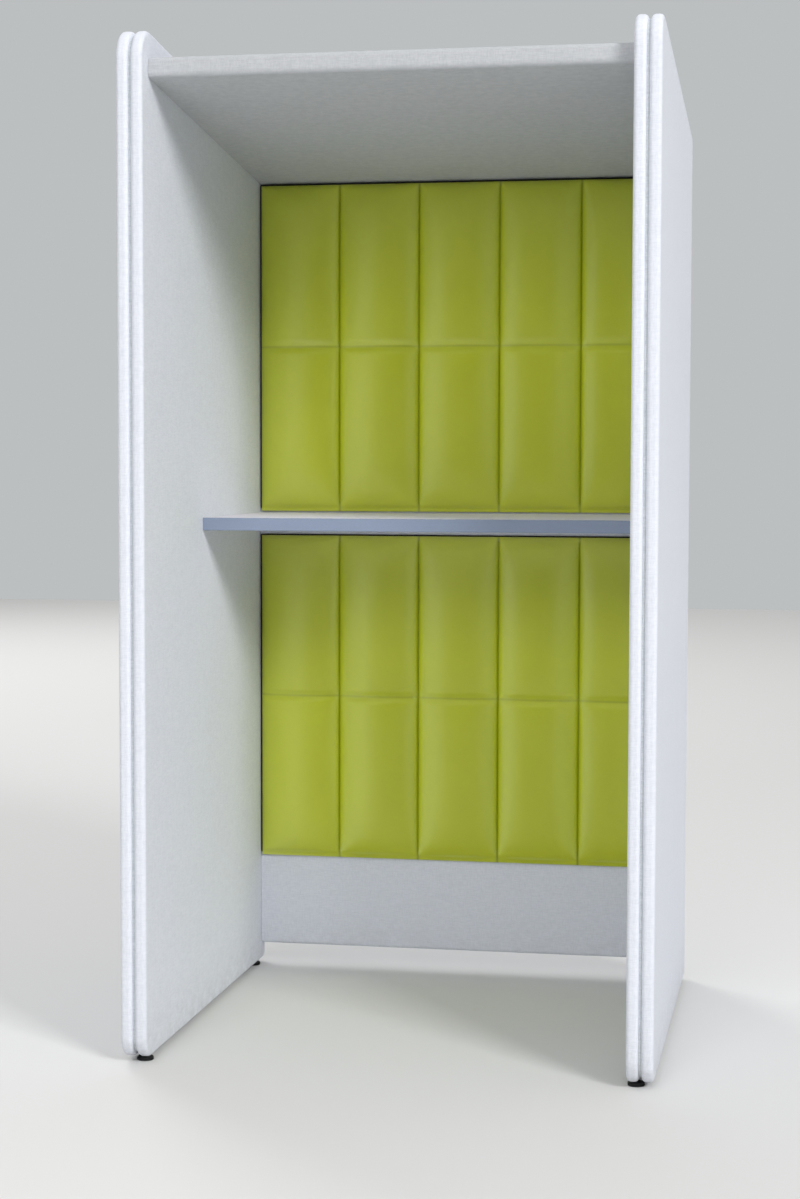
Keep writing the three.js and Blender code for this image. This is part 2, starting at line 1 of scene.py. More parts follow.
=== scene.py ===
"""Looks of an open-fronted acoustic pod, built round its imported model.

Upholstered sides, a sloping roof, a back panel with two quilted leatherette pads, a worktop and
levelling feet. Metres, +Z up, the open front faces -Y. Each piece stands where its CAD node stands.
"""

import logging
import math
from collections.abc import Callable, Iterator, Sequence
from contextlib import contextmanager
from dataclasses import dataclass, field
from enum import Enum

import bmesh
import bpy
from mathutils import Matrix, Vector


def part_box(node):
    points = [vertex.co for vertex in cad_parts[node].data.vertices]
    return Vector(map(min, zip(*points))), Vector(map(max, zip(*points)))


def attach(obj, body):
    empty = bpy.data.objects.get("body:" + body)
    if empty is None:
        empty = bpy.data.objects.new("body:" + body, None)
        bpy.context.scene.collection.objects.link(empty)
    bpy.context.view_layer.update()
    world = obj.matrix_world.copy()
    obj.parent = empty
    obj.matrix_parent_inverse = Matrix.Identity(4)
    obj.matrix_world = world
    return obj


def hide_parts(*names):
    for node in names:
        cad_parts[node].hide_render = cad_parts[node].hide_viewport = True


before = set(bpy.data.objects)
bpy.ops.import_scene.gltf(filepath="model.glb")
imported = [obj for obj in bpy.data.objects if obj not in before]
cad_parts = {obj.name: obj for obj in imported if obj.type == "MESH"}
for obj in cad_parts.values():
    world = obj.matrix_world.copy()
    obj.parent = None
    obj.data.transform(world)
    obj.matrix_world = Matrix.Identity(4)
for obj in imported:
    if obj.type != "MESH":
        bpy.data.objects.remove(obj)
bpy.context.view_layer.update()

LOG = logging.getLogger("pod")

POD = "pod"
MM = 0.001
TOP_SLOPE = math.radians(6.5)
PINS = ("shelf_front_pin", "shelf_rear_pin", "back_lower_pin", "back_upper_pin")
# The mesh attribute that masks the painted shade in the pads' sewn folds.
FOLD_SHADE_ATTRIBUTE = "fold"
NEAR = 0.02 * MM
SQUARE_ON = 0.99

Colour = tuple[float, float, float]
Piece = bpy.types.Object
Material = bpy.types.Material
Node = bpy.types.Node
NodeTree = bpy.types.NodeTree
Socket = bpy.types.NodeSocket


class Side(Enum):
    """The pod's two sides, seen from the open front."""

    LEFT = -1
    RIGHT = 1

    @property
    def label(self) -> str:
        """The side's word in the names of nodes."""
        return self.name.lower()


class End(Enum):
    """The pod's two ends, from the open front to the back panel."""

    FRONT = -1
    REAR = 1

    @property
    def label(self) -> str:
        """The end's word in the names of nodes."""
        return self.name.lower()


class Element(Enum):
    """What an edit-mode selection picks."""

    VERTEX = "VERT"
    EDGE = "EDGE"
    FACE = "FACE"


class Slot(Enum):
    """The record's material slots."""

    PANEL_FABRIC = "panel_fabric"
    EDGE_BOARD = "edge_band_board"
    QUILT = "quilt_leatherette"
    LAMINATE_EDGE = "laminate_edge"
    TIMBER = "timber"
    STEEL = "steel"
    BRACKET = "bracket_steel"
    GLIDE = "glide_plastic"


def screen(red: int, green: int, blue: int) -> Colour:
    """Turns a colour as a screen shows it, 0 to 255, into the linear colour that shaders take.

    Args:
        red: Red on the screen.
        green: Green on the screen.
        blue: Blue on the screen.

    Returns:
        The linear colour.
    """
    shares = (channel / 255 for channel in (red, green, blue))
    return tuple(s / 12.92 if s <= 0.04045 else ((s + 0.055) / 1.055) ** 2.4 for s in shares)


# Bench work: selections, primitives, modifiers


def pick(obj: Piece) -> None:
    """Makes one object the only selected and the active one."""
    bpy.ops.object.select_all(action="DESELECT")
    obj.select_set(True)
    bpy.context.view_layer.objects.active = obj


def settle(obj: Piece, name: str, size: Sequence[float] = (1.0, 1.0, 1.0)) -> Piece:
    """Names a piece, sizes it, and moves its place, turn and scale into its mesh.

    Args:
        obj: The piece.
        name: Its name.
        size: How many times longer it becomes along its own axes.

    Returns:
        The piece.
    """
    obj.name = obj.data.name = name
    obj.scale = size
    pick(obj)
    bpy.ops.object.transform_apply(location=True, rotation=True, scale=True)
    return obj


@contextmanager
def editing(obj: Piece) -> Iterator[None]:
    """Opens a piece in edit mode with nothing selected, and closes it again."""
    pick(obj)
    bpy.ops.object.mode_set(mode="EDIT")
    bpy.ops.mesh.select_all(action="DESELECT")
    yield
    bpy.ops.object.mode_set(mode="OBJECT")


def choose(obj: Piece, element: Element, test: Callable[..., bool]) -> None:
    """Selects the vertices, edges or faces of a piece in edit mode that pass a test.

    Args:
        obj: The piece, in edit mode.
        element: What to select.
        test: Takes one vertex, edge or face of the edit mesh.
    """
    bpy.ops.mesh.select_mode(type=element.value)
    bpy.ops.mesh.select_all(action="DESELECT")
    mesh = bmesh.from_edit_mesh(obj.data)
    elements = {Element.VERTEX: mesh.verts, Element.EDGE: mesh.edges, Element.FACE: mesh.faces}
    for one in [one for one in elements[element] if test(one)]:
        one.select_set(True)
    mesh.select_flush_mode()
    bmesh.update_edit_mesh(obj.data)


def choose_edges(obj: Piece, test: Callable[[Vector], bool]) -> None:
    """Selects the edges of a piece in edit mode whose two ends both lie where a test says."""
    choose(obj, Element.EDGE, lambda edge: all(test(vert.co) for vert in edge.verts))


def round_edges(radius: float, steps: int) -> None:
    """Rounds the selected edges."""
    bpy.ops.mesh.bevel(offset=radius, segments=steps, affect="EDGES", clamp_overlap=False)


def push(offset: Sequence[float]) -> None:
    """Extrudes the selection by an offset."""
    bpy.ops.mesh.extrude_region_move(TRANSFORM_OT_translate={"value": tuple(offset)})


def runs_along(edge: bmesh.types.BMEdge, axis: int) -> bool:
    """True if an edge runs along an axis of the pod."""
    along = edge.verts[1].co - edge.verts[0].co
    return abs(along[axis]) > 0.999 * along.length


def start_shape(
    add: Callable[..., object], name: str, stretch: Sequence[float] = (1.0, 1.0, 1.0), **settings: object
) -> Piece:
    """Adds a primitive as the start of a piece.

    Args:
        add: The operator that adds it.
        name: The piece's name.
        stretch: How many times longer it becomes along its own axes.
        settings: The operator's own settings.

    Returns:
        The primitive, with its place in its mesh.
    """
    bpy.ops.object.select_all(action="DESELECT")
    add(**settings)
    return settle(bpy.context.object, name, stretch)


def start_box(name: str, low: Sequence[float], high: Sequence[float]) -> Piece:
    """Adds a box between two corners as the start of a piece.

    Args:
        name: The piece's name.
        low: The lowest corner.
        high: The highest corner.

    Returns:
        The box.
    """
    low, high = Vector(low), Vector(high)
    return start_shape(bpy.ops.mesh.primitive_cube_add, name, high - low, size=1.0, location=(low + high) / 2)


def apply_modifier(obj: Piece, modifier: bpy.types.Modifier) -> None:
    """Applies one modifier of a piece."""
    pick(obj)
    bpy.ops.object.modifier_apply(modifier=modifier.name)


def smooth(obj: Piece, angle_deg: float = 35.0) -> None:
    """Shades a piece smooth over its rounded edges and flat on its flat faces."""
    pick(obj)
    bpy.ops.object.shade_smooth_by_angle(angle=math.radians(angle_deg))
    weighted = obj.modifiers.new("Flat faces", "WEIGHTED_NORMAL")
    weighted.keep_sharp = True
    apply_modifier(obj, weighted)


def face_outwards(obj: Piece, merge: float = NEAR) -> None:
    """Merges doubled vertices and turns every face outwards."""
    with editing(obj):
        bpy.ops.mesh.select_all(action="SELECT")
        bpy.ops.mesh.remove_doubles(threshold=merge)
        bpy.ops.mesh.normals_make_consistent(inside=False)


@dataclass(frozen=True)
class Bore:
    """A round hole through a piece, along X or upright."""

    centre: Vector
    radius: float
    length: float
    upright: bool = False
    sides: int = 32

    def cutter(self) -> Piece:
        """Makes the rod that cuts the hole."""
        return start_shape(
            bpy.ops.mesh.primitive_cylinder_add,
            "cutter",
            vertices=self.sides,
            radius=self.radius,
            depth=self.length,
            location=self.centre,
            rotation=(0.0, 0.0 if self.upright else math.pi / 2, 0.0),
        )


def carve(obj: Piece, cutters: Sequence[Piece]) -> None:
    """Cuts shapes out of a piece and removes the cutters.

    Args:
        obj: The piece.
        cutters: Closed meshes that don't touch each other.
    """
    pick(cutters[0])
    for cutter in cutters:
        cutter.select_set(True)
    bpy.ops.object.join()
    joined = bpy.context.object
    cut = obj.modifiers.new("Cut", "BOOLEAN")
    cut.operation = "DIFFERENCE"
    cut.solver = "EXACT"
    cut.object = joined
    apply_modifier(obj, cut)
    bpy.data.objects.remove(joined)


def drill(obj: Piece, bores: Sequence[Bore]) -> None:
    """Drills round holes in a piece."""
    carve(obj, [bore.cutter() for bore in bores])


def copy_piece(obj: Piece, name: str, move: Matrix) -> Piece:
    """Copies a piece with a mesh of its own.

    Args:
        obj: The piece that was modelled.
        name: The copy's name.
        move: Where the copy's mesh goes.

    Returns:
        The copy, at the origin, with its place in its mesh.
    """
    twin = obj.copy()
    twin.data = obj.data.copy()
    twin.name = twin.data.name = name
    bpy.context.scene.collection.objects.link(twin)
    twin.data.transform(move)
    if move.determinant() < 0:
        twin.data.flip_normals()
    return twin


def middle_of(node: str) -> Vector:
    """The middle of a CAD node's box."""
    low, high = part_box(node)
    return (low + high) / 2


def fit_out(
    obj: Piece,
    material: Material,
    slot: Slot,
    body: str,
    *nodes: str,
) -> None:
    """Dresses a finished piece, hangs it on its body, hides the CAD nodes it stands for, and reports it.

    Args:
        obj: The piece.
        material: Its finish.
        slot: The record's slot for that finish; not used.
        body: The CAD body it moves with.
        nodes: The CAD nodes it stands for.
    """
    obj.data.materials.clear()
    obj.data.materials.append(material)
    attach(obj, body)
    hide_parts(*nodes)
    LOG.info("%s: %d faces on %s", obj.name, len(obj.data.polygons), body)


# Finishes


class Wiring:
    """Adds nodes to one node tree and joins them."""

    def __init__(self, tree: NodeTree) -> None:
        """Keeps the tree."""
        self.tree = tree

    def add(self, kind: str, **settings: object) -> Node:
        """Adds a node.

        Args:
            kind: The node's type, without the ShaderNode that starts it.
            settings: Values of its own properties.

        Returns:
            The node.
        """
        node = self.tree.nodes.new(f"ShaderNode{kind}")
        for key, value in settings.items():
            setattr(node, key, value)
        return node

    def feed(self, socket: Socket, value: object) -> None:
        """Joins a socket to an output, or sets it to a plain value."""
        if isinstance(value, Socket):
            self.tree.links.new(value, socket)
        else:
            colour = socket.type == "RGBA" and len(value) == 3
            socket.default_value = (*value, 1.0) if colour else value

    def math(self, operation: str, *values: object, clamp: bool = False) -> Socket:
        """Adds a Math node.

        Args:
            operation: Its operation.
            values: Its inputs, as outputs of other nodes or numbers.
            clamp: Whether the result stays from 0 to 1.

        Returns:
            Its output.
        """
        node = self.add("Math", operation=operation, use_clamp=clamp)
        for socket, value in zip(node.inputs, values):
            self.feed(socket, value)
        return node.outputs[0]

    def vector(self, operation: str, *values: object) -> Node:
        """Adds a Vector Math node.

        Args:
            operation: Its operation.
            values: Its inputs, in the order of its sockets.

        Returns:
            The node.
        """
        node = self.add("VectorMath", operation=operation)
        for socket, value in zip(node.inputs, values):
            self.feed(socket, value)
        return node

    def blend(self, share: object, first: object, second: object) -> Socket:
        """Adds a colour Mix node.

        Args:
            share: The second colour's share.
            first: The colour at share 0.
            second: The colour at share 1.

        Returns:
            Its output.
        """
        node = self.add("Mix", data_type="RGBA")
        for socket, value in zip((node.inputs[0], node.inputs[6], node.inputs[7]), (share, first, second)):
            self.feed(socket, value)
        return node.outputs[2]

    def spread(
        self, value: object, low: float, high: float, onto_low: float, onto_high: float
    ) -> Socket:
        """Adds a Map Range node.

        Args:
            value: What is mapped.
            low: Its lowest value.
            high: Its highest value.
            onto_low: What the lowest value becomes.
            onto_high: What the highest value becomes.

        Returns:
            Its output.
        """
        node = self.add("MapRange", clamp=True)
        for socket, part in zip(node.inputs, (value, low, high, onto_low, onto_high)):
            self.feed(socket, part)
        return node.outputs[0]

    def stretched_noise(
        self, place: object, period: Colour, detail: float = 2.0, roughness: float = 0.5
    ) -> Socket:
        """Adds a noise whose grains have their own length along each axis.

        Args:
            place: The coordinates.
            period: The grains' length along X, Y and Z, in metres.
            detail: The noise's detail.
            roughness: The noise's roughness.

        Returns:
            The noise, from 0 to 1.
        """
        scaled = self.vector("MULTIPLY", place, tuple(1 / length for length in period))
        node = self.add("TexNoise")
        self.feed(node.inputs["Vector"], scaled.outputs[0])
        self.feed(node.inputs["Scale"], 1.0)
        self.feed(node.inputs["Detail"], detail)
        self.feed(node.inputs["Roughness"], roughness)
        return node.outputs[0]

    def group(self, tree: NodeTree, **values: object) -> Node:
        """Places a node group.

        Args:
            tree: The group.
            values: Its inputs by name.

        Returns:
            The group's node.
        """
        node = self.add("Group", node_tree=tree)
        for name, value in values.items():
            self.feed(node.inputs[name], value)
        return node


def new_group(
    name: str, inputs: dict[str, str], outputs: Sequence[str]
) -> tuple[Wiring, dict[str, Socket], Node]:
    """Starts a shader node group.

    Args:
        name: The group's name.
        inputs: Its inputs' names and socket types.
        outputs: The names of its outputs, which are numbers.

    Returns:
        The wiring, the inputs by name, and the node that takes the outputs.
    """
    tree = bpy.data.node_groups.new(name, "ShaderNodeTree")
    for label, kind in inputs.items():
        tree.interface.new_socket(label, in_out="INPUT", socket_type=f"NodeSocket{kind}")
    for label in outputs:
        tree.interface.new_socket(label, in_out="OUTPUT", socket_type="NodeSocketFloat")
    wiring = Wiring(tree)
    given = wiring.tree.nodes.new("NodeGroupInput")
    taken = wiring.tree.nodes.new("NodeGroupOutput")
    return wiring, {socket.name: socket for socket in given.outputs if socket.name}, taken


def weave_group() -> NodeTree:
    """Makes the plain weave: threads over and under in the plane that each face lies in.

    Returns:
        A group that gives the cloth's height and the holes between its threads.
    """
    wiring, given, taken = new_group(
        "Plain weave", {"Place": "Vector", "Facing": "Vector", "Pitch": "Float"}, ("Height", "Hole")
    )
    per_metre = wiring.math("DIVIDE", math.pi, given["Pitch"])
    scaled = wiring.vector("SCALE", given["Place"])
    wiring.feed(scaled.inputs["Scale"], per_metre)
    waves = wiring.add("SeparateXYZ")
    wiring.feed(waves.inputs[0], wiring.vector("SINE", scaled.outputs[0]).outputs[0])
    across = wiring.add("CombineXYZ")
    along = wiring.add("CombineXYZ")
    for index in range(3):
        wiring.feed(across.inputs[index], waves.outputs[(index + 1) % 3])
        wiring.feed(along.inputs[index], waves.outputs[(index + 2) % 3])
    crossings = wiring.vector("MULTIPLY", across.outputs[0], along.outputs[0])
    humps = wiring.vector("ABSOLUTE", crossings.outputs[0])
    facing = wiring.vector("MULTIPLY", given["Facing"], given["Facing"])
    height = wiring.vector("DOT_PRODUCT", humps.outputs[0], facing.outputs[0]).outputs["Value"]
    wiring.feed(taken.inputs["Height"], height)
    wiring.feed(taken.inputs["Hole"], wiring.spread(height, 0.0, 0.35, 1.0, 0.0))
    return wiring.tree


def heather_group() -> NodeTree:
    """Makes the melange of light and dark yarn, with thicker slubs here and there.

    Returns:
        A group that gives the share of dark yarn and the slubs.
    """
    wiring, given, taken = new_group("Heather", {"Place": "Vector"}, ("Dark", "Slub"))
    upright = wiring.stretched_noise(given["Place"], (2.2 * MM, 2.2 * MM, 16 * MM))
    level = wiring.stretched_noise(given["Place"], (16 * MM, 16 * MM, 2.2 * MM))
    clouds = wiring.stretched_noise(given["Place"], (40 * MM, 40 * MM, 60 * MM), detail=3.0)
    yarn = wiring.math("ADD", wiring.math("MULTIPLY", upright, 0.5), wiring.math("MULTIPLY", level, 0.5))
    mixed = wiring.math("ADD", yarn, wiring.math("MULTIPLY", wiring.math("SUBTRACT", clouds, 0.5), 0.06))
    wiring.feed(taken.inputs["Dark"], wiring.spread(mixed, 0.38, 0.64, 0.0, 1.0))
    wiring.feed(taken.inputs["Slub"], wiring.spread(level, 0.6, 0.75, 0.0, 1.0))
    return wiring.tree


def soil_group() -> NodeTree:
    """Makes the faint soil that gathers near the floor.

    Returns:
        A group that gives the soil's share.
    """
    wiring, given, taken = new_group("Floor soil", {"Place": "Vector", "Reach": "Float"}, ("Soil",))
    parts = wiring.add("SeparateXYZ")
    wiring.feed(parts.inputs[0], given["Place"])
    share = wiring.math("SUBTRACT", 1.0, wiring.math("DIVIDE", parts.outputs[2], given["Reach"]), clamp=True)
    patches = wiring.stretched_noise(given["Place"], (35 * MM, 35 * MM, 22 * MM), detail=4.0, roughness=0.62)
    gathered = wiring.math("MULTIPLY", share, share)
    patchy = wiring.spread(patches, 0.35, 0.7, 0.1, 1.0)
    wiring.feed(taken.inputs["Soil"], wiring.math("MULTIPLY", gathered, patchy))
    return wiring.tree


def grain_group() -> NodeTree:
    """Makes a pebbled grain, as on leatherette and moulded plastic.

    Returns:
        A group that gives the grain's height and its valleys.
    """
    wiring, given, taken = new_group(
        "Pebble grain", {"Place": "Vector", "Cell": "Float"}, ("Height", "Valley")
    )
    wobble = wiring.stretched_noise(given["Place"], (4 * MM, 4 * MM, 4 * MM))
    shifted = wiring.vector("SCALE", given["Place"])
    wiring.feed(shifted.inputs["Scale"], wiring.math("DIVIDE", 1.0, given["Cell"]))
    offset = wiring.vector("ADD", shifted.outputs[0], wobble)
    cells = wiring.add("TexVoronoi", feature="DISTANCE_TO_EDGE")
    wiring.feed(cells.inputs["Vector"], offset.outputs[0])
    wiring.feed(cells.inputs["Scale"], 1.0)
    valley = wiring.spread(cells.outputs[0], 0.0, 0.16, 1.0, 0.0)
    wiring.feed(taken.inputs["Height"], wiring.math("SUBTRACT", 1.0, valley))
    wiring.feed(taken.inputs["Valley"], valley)
    return wiring.tree


class SharedEffects:
    """The node groups that several finishes use, each built once."""

    def __init__(self) -> None:
        """Builds the groups."""
        self.weave = weave_group()
        self.heather = heather_group()
        self.soil = soil_group()
        self.grain = grain_group()


@dataclass(frozen=True)
class Finish:
    """What every finish has: a name and a Principled shader."""

    name: str

    def start(self) -> tuple[Material, Wiring, Node, Socket]:
        """Starts the material.

        Returns:
            The material, its wiring, its shader and its Object coordinates.
        """
        material = bpy.data.materials.new(self.name)
        material.use_nodes = True
        wiring = Wiring(material.node_tree)
        shader = material.node_tree.nodes["Principled BSDF"]
        return material, wiring, shader, wiring.add("TexCoord").outputs["Object"]

    def emboss(
        self, wiring: Wiring, shader: Node, height: object, depth: float, strength: float = 1.0
    ) -> None:
        """Feeds a height into the shader's normal, with its depth in metres."""
        bump = wiring.add("Bump")
        wiring.feed(bump.inputs["Strength"], strength)
        wiring.feed(bump.inputs["Distance"], depth)
        wiring.feed(bump.inputs["Height"], height)
        wiring.feed(shader.inputs["Normal"], bump.outputs[0])


@dataclass(frozen=True)
class WovenCloth(Finish):
    """Heathered woven cloth, soiled a little near the floor."""

    light: Colour = screen(239, 242, 250)
    dark: Colour = screen(226, 230, 239)
    hole: Colour = screen(206, 210, 219)
    soil: Colour = screen(140, 132, 120)
    pitch: float = 1.7 * MM
    thread_depth: float = 0.3 * MM
    soil_reach: float = 0.16

    def material(self, effects: SharedEffects) -> Material:
        """Builds the cloth's material."""
        material, wiring, shader, place = self.start()
        facing = wiring.add("TexCoord").outputs["Normal"]
        weave = wiring.group(effects.weave, Place=place, Facing=facing, Pitch=self.pitch)
        heather = wiring.group(effects.heather, Place=place)
        soil = wiring.group(effects.soil, Place=place, Reach=self.soil_reach)
        yarn = wiring.blend(heather.outputs["Dark"], self.light, self.dark)
        open_share = wiring.math("MULTIPLY", weave.outputs["Hole"], 0.35)
        cloth = wiring.blend(open_share, yarn, self.hole)
        dirt = wiring.math("MULTIPLY", soil.outputs["Soil"], 0.3)
        wiring.feed(shader.inputs["Base Color"], wiring.blend(dirt, cloth, self.soil))
        wiring.feed(shader.inputs["Roughness"], wiring.spread(heather.outputs["Dark"], 0.0, 1.0, 0.98, 0.88))
        fuzz = wiring.math("MULTIPLY", heather.outputs["Slub"], 0.5)
        self.emboss(wiring, shader, wiring.math("ADD", weave.outputs["Height"], fuzz), self.thread_depth, 0.7)
        shader.inputs["Specular IOR Level"].default_value = 0.2
        shader.inputs["Sheen Weight"].default_value = 0.12
        shader.inputs["Sheen Roughness"].default_value = 0.45
        return material


@dataclass(frozen=True)
class Leatherette(Finish):
    """Satin leatherette with a fine pebble, and painted shade in its sewn folds."""

    base: Colour = screen(208, 219, 0)
    pale: Colour = screen(211, 222, 2)
    # The fold colour is painted shade for the sewn folds; the grain's valleys take a little of it too.
    fold: Colour = screen(152, 163, 0)
    cell: float = 1.5 * MM
    grain_depth: float = 0.05 * MM

    def material(self, effects: SharedEffects) -> Material:
        """Builds the leatherette's material."""
        material, wiring, shader, place = self.start()
        grain = wiring.group(effects.grain, Place=place, Cell=self.cell)
        clouds = wiring.stretched_noise(place, (0.12, 0.12, 0.16), detail=3.0)
        # The fold attribute is the mask of the painted shade: the channels and the cross fold take the fold
        # colour.
        fold = wiring.add("Attribute", attribute_name=FOLD_SHADE_ATTRIBUTE).outputs["Fac"]
        skin = wiring.blend(wiring.spread(clouds, 0.35, 0.65, 0.0, 1.0), self.base, self.pale)
        lined = wiring.blend(wiring.math("MULTIPLY", grain.outputs["Valley"], 0.12), skin, self.fold)
        wiring.feed(shader.inputs["Base Color"], wiring.blend(fold, lined, self.fold))
        worn = wiring.spread(clouds, 0.3, 0.7, 0.29, 0.34)
        wiring.feed(
            shader.inputs["Roughness"],
            wiring.math("ADD", worn, wiring.math("MULTIPLY", grain.outputs["Valley"], 0.1)),
        )
        self.emboss(wiring, shader, grain.outputs["Height"], self.grain_depth, 0.6)
        shader.inputs["Specular IOR Level"].default_value = 1.0
        shader.inputs["IOR"].default_value = 1.75
        return material


@dataclass(frozen=True)
class Laminate(Finish):
    """Satin laminate or edge banding with a faint fleck and orange peel."""

    # The lilac tint is painted to cancel the green light that the pads throw onto the worktop.
    base: Colour = screen(247, 243, 255)
    fleck: Colour = screen(238, 235, 249)
    roughness: float = 0.62

    def material(self, effects: SharedEffects) -> Material:
        """Builds the laminate's material."""
        material, wiring, shader, place = self.start()
        flecks = wiring.stretched_noise(place, (1.4 * MM, 1.4 * MM, 1.4 * MM), detail=4.0, roughness=0.7)
        smear = wiring.stretched_noise(place, (0.18, 0.09, 0.09), detail=3.0)
        wiring.feed(
            shader.inputs["Base Color"],
            wiring.blend(wiring.spread(flecks, 0.45, 0.62, 0.0, 1.0), self.base, self.fleck),
        )
        wiring.feed(
            shader.inputs["Roughness"],
            wiring.spread(smear, 0.3, 0.7, self.roughness - 0.04, self.roughness + 0.06),
        )
        peel = wiring.group(effects.grain, Place=place, Cell=0.9 * MM)
        self.emboss(wiring, shader, peel.outputs["Height"], 0.01 * MM, 0.4)
        shader.inputs["Specular IOR Level"].default_value = 0.15
        return material


@dataclass(frozen=True)
class Timber(Finish):
    """Sawn timber and board with a straight grain."""

    light: Colour = screen(214, 184, 140)
    dark: Colour = screen(172, 136, 92)
    fibre: Colour = (3 * MM, 3 * MM, 90 * MM)

    def material(self, effects: SharedEffects) -> Material:
        """Builds the timber's material."""
        material, wiring, shader, place = self.start()
        fibre = wiring.stretched_noise(place, self.fibre, detail=5.0, roughness=0.6)
        pores = wiring.group(effects.grain, Place=place, Cell=1.1 * MM)
        share = wiring.spread(fibre, 0.35, 0.65, 0.0, 1.0)
        wiring.feed(shader.inputs["Base Color"], wiring.blend(share, self.light, self.dark))
        wiring.feed(shader.inputs["Roughness"], wiring.spread(fibre, 0.3, 0.7, 0.62, 0.82))
        height = wiring.math("ADD", share, wiring.math("MULTIPLY", pores.outputs["Height"], 0.3))
        self.emboss(wiring, shader, height, 0.2 * MM, 0.5)
        return material


@dataclass(frozen=True)
class Felt(Finish):
    """Matted grey fibre inside the panels."""

    light: Colour = screen(150, 153, 156)
    dark: Colour = screen(92, 95, 99)

    def material(self, effects: SharedEffects) -> Material:
        """Builds the felt's material."""
        material, wiring, shader, place = self.start()
        heather = wiring.group(effects.heather, Place=place)
        mat = wiring.stretched_noise(place, (0.8 * MM, 5 * MM, 1.2 * MM), detail=4.0, roughness=0.7)
        share = wiring.math("MULTIPLY", wiring.spread(mat, 0.35, 0.65, 0.2, 1.0), heather.outputs["Dark"])
        wiring.feed(shader.inputs["Base Color"], wiring.blend(share, self.light, self.dark))
        wiring.feed(shader.inputs["Roughness"], wiring.spread(mat, 0.3, 0.7, 0.9, 1.0))
        self.emboss(wiring, shader, mat, 0.5 * MM, 0.8)
        return material


@dataclass(frozen=True)
class PlatedSteel(Finish):
    """Zinc-plated steel with drawn marks along its length."""

    bright: Colour = screen(196, 198, 202)
    dull: Colour = screen(160, 163, 168)
    drawn: Colour = (0.4 * MM, 0.4 * MM, 0.4 * MM)

    def material(self, effects: SharedEffects) -> Material:
        """Builds the steel's material."""
        material, wiring, shader, place = self.start()
        marks = wiring.stretched_noise(place, self.drawn, detail=3.0)
        bloom = wiring.stretched_noise(place, (6 * MM, 6 * MM, 6 * MM), detail=3.0)
        pits = wiring.group(effects.grain, Place=place, Cell=0.7 * MM)
        share = wiring.spread(bloom, 0.35, 0.65, 0.0, 1.0)
        wiring.feed(shader.inputs["Base Color"], wiring.blend(share, self.bright, self.dull))
        wiring.feed(shader.inputs["Roughness"], wiring.spread(marks, 0.3, 0.7, 0.26, 0.42))
        height = wiring.math("ADD", marks, wiring.math("MULTIPLY", pits.outputs["Height"], 0.2))
        self.emboss(wiring, shader, height, 0.02 * MM, 0.5)
        shader.inputs["Metallic"].default_value = 1.0
        return material


@dataclass(frozen=True)
class MouldedSkin(Finish):
    """A fine textured skin, moulded in plastic or baked on as powder coat."""

    base: Colour = screen(32, 32, 34)
    worn: Colour = screen(58, 57, 57)
    cell: float = 0.6 * MM
    roughness: float = 0.5

    def material(self, effects: SharedEffects) -> Material:
        """Builds the skin's material."""
        material, wiring, shader, place = self.start()
        grain = wiring.group(effects.grain, Place=place, Cell=self.cell)
        soil = wiring.group(effects.soil, Place=place, Reach=12 * MM)
        scuffs = wiring.stretched_noise(place, (5 * MM, 5 * MM, 2 * MM), detail=4.0, roughness=0.65)
        rubbed = wiring.spread(scuffs, 0.48, 0.72, 0.0, 0.6)
        share = wiring.math("MAXIMUM", rubbed, wiring.math("MULTIPLY", soil.outputs["Soil"], 0.5))
        wiring.feed(shader.inputs["Base Color"], wiring.blend(share, self.base, self.worn))
        wiring.feed(
            shader.inputs["Roughness"], wiring.spread(scuffs, 0.3, 0.7, self.roughness, self.roughness + 0.15)
        )
        self.emboss(wiring, shader, grain.outputs["Height"], 0.05 * MM, 0.5)
        return material


class Finishes:
    """Every finish of the pod, each built once."""

    def __init__(self) -> None:
        """Builds the materials."""
        effects = SharedEffects()
        self.cloth = WovenCloth("Heathered cloth").material(effects)
        self.band = WovenCloth(
            "Groove cloth", light=screen(222, 227, 230), dark=screen(198, 204, 208)
        ).material(effects)
        # The roof's cloth is a darker grey copy of the side cloth: painted shade for the roof's underside and
        # edge.
        self.roof_cloth = WovenCloth(
            "Roof cloth", light=screen(203, 205, 208), dark=screen(187, 190, 194), hole=screen(170, 173, 177)
        ).material(effects)
        self.quilt = Leatherette("Lime leatherette").material(effects)
        self.laminate = Laminate("Blue-grey laminate").material(effects)
        self.edge = Laminate(
            "Blue-grey edge band", base=screen(146, 158, 180), fleck=screen(138, 150, 172), roughness=0.36
        ).material(effects)
        self.timber = Timber("Pine and board").material(effects)
        # The near-black board behind the pads is painted shade for the gaps round them.
        self.stained = Timber(
            "Stained board", light=screen(44, 43, 42), dark=screen(28, 27, 27)
        ).material(effects)
        self.felt = Felt("Absorber felt").material(effects)
        self.steel = PlatedSteel("Plated steel").material(effects)
        self.coat = MouldedSkin(
            "Grey powder coat", base=screen(172, 175, 178), worn=screen(150, 152, 154), roughness=0.42
        ).material(effects)
        self.plastic = MouldedSkin("Black glide plastic").material(effects)

    def dress_nodes(self, material: Material, names: Sequence[str]) -> None:
        """Gives CAD nodes that stay in sight a finish."""
        for name in names:
            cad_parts[name].material_slots[0].material = material
            LOG.info("%s: kept from the CAD, in %s", name, material.name)


# Sub-assemblies


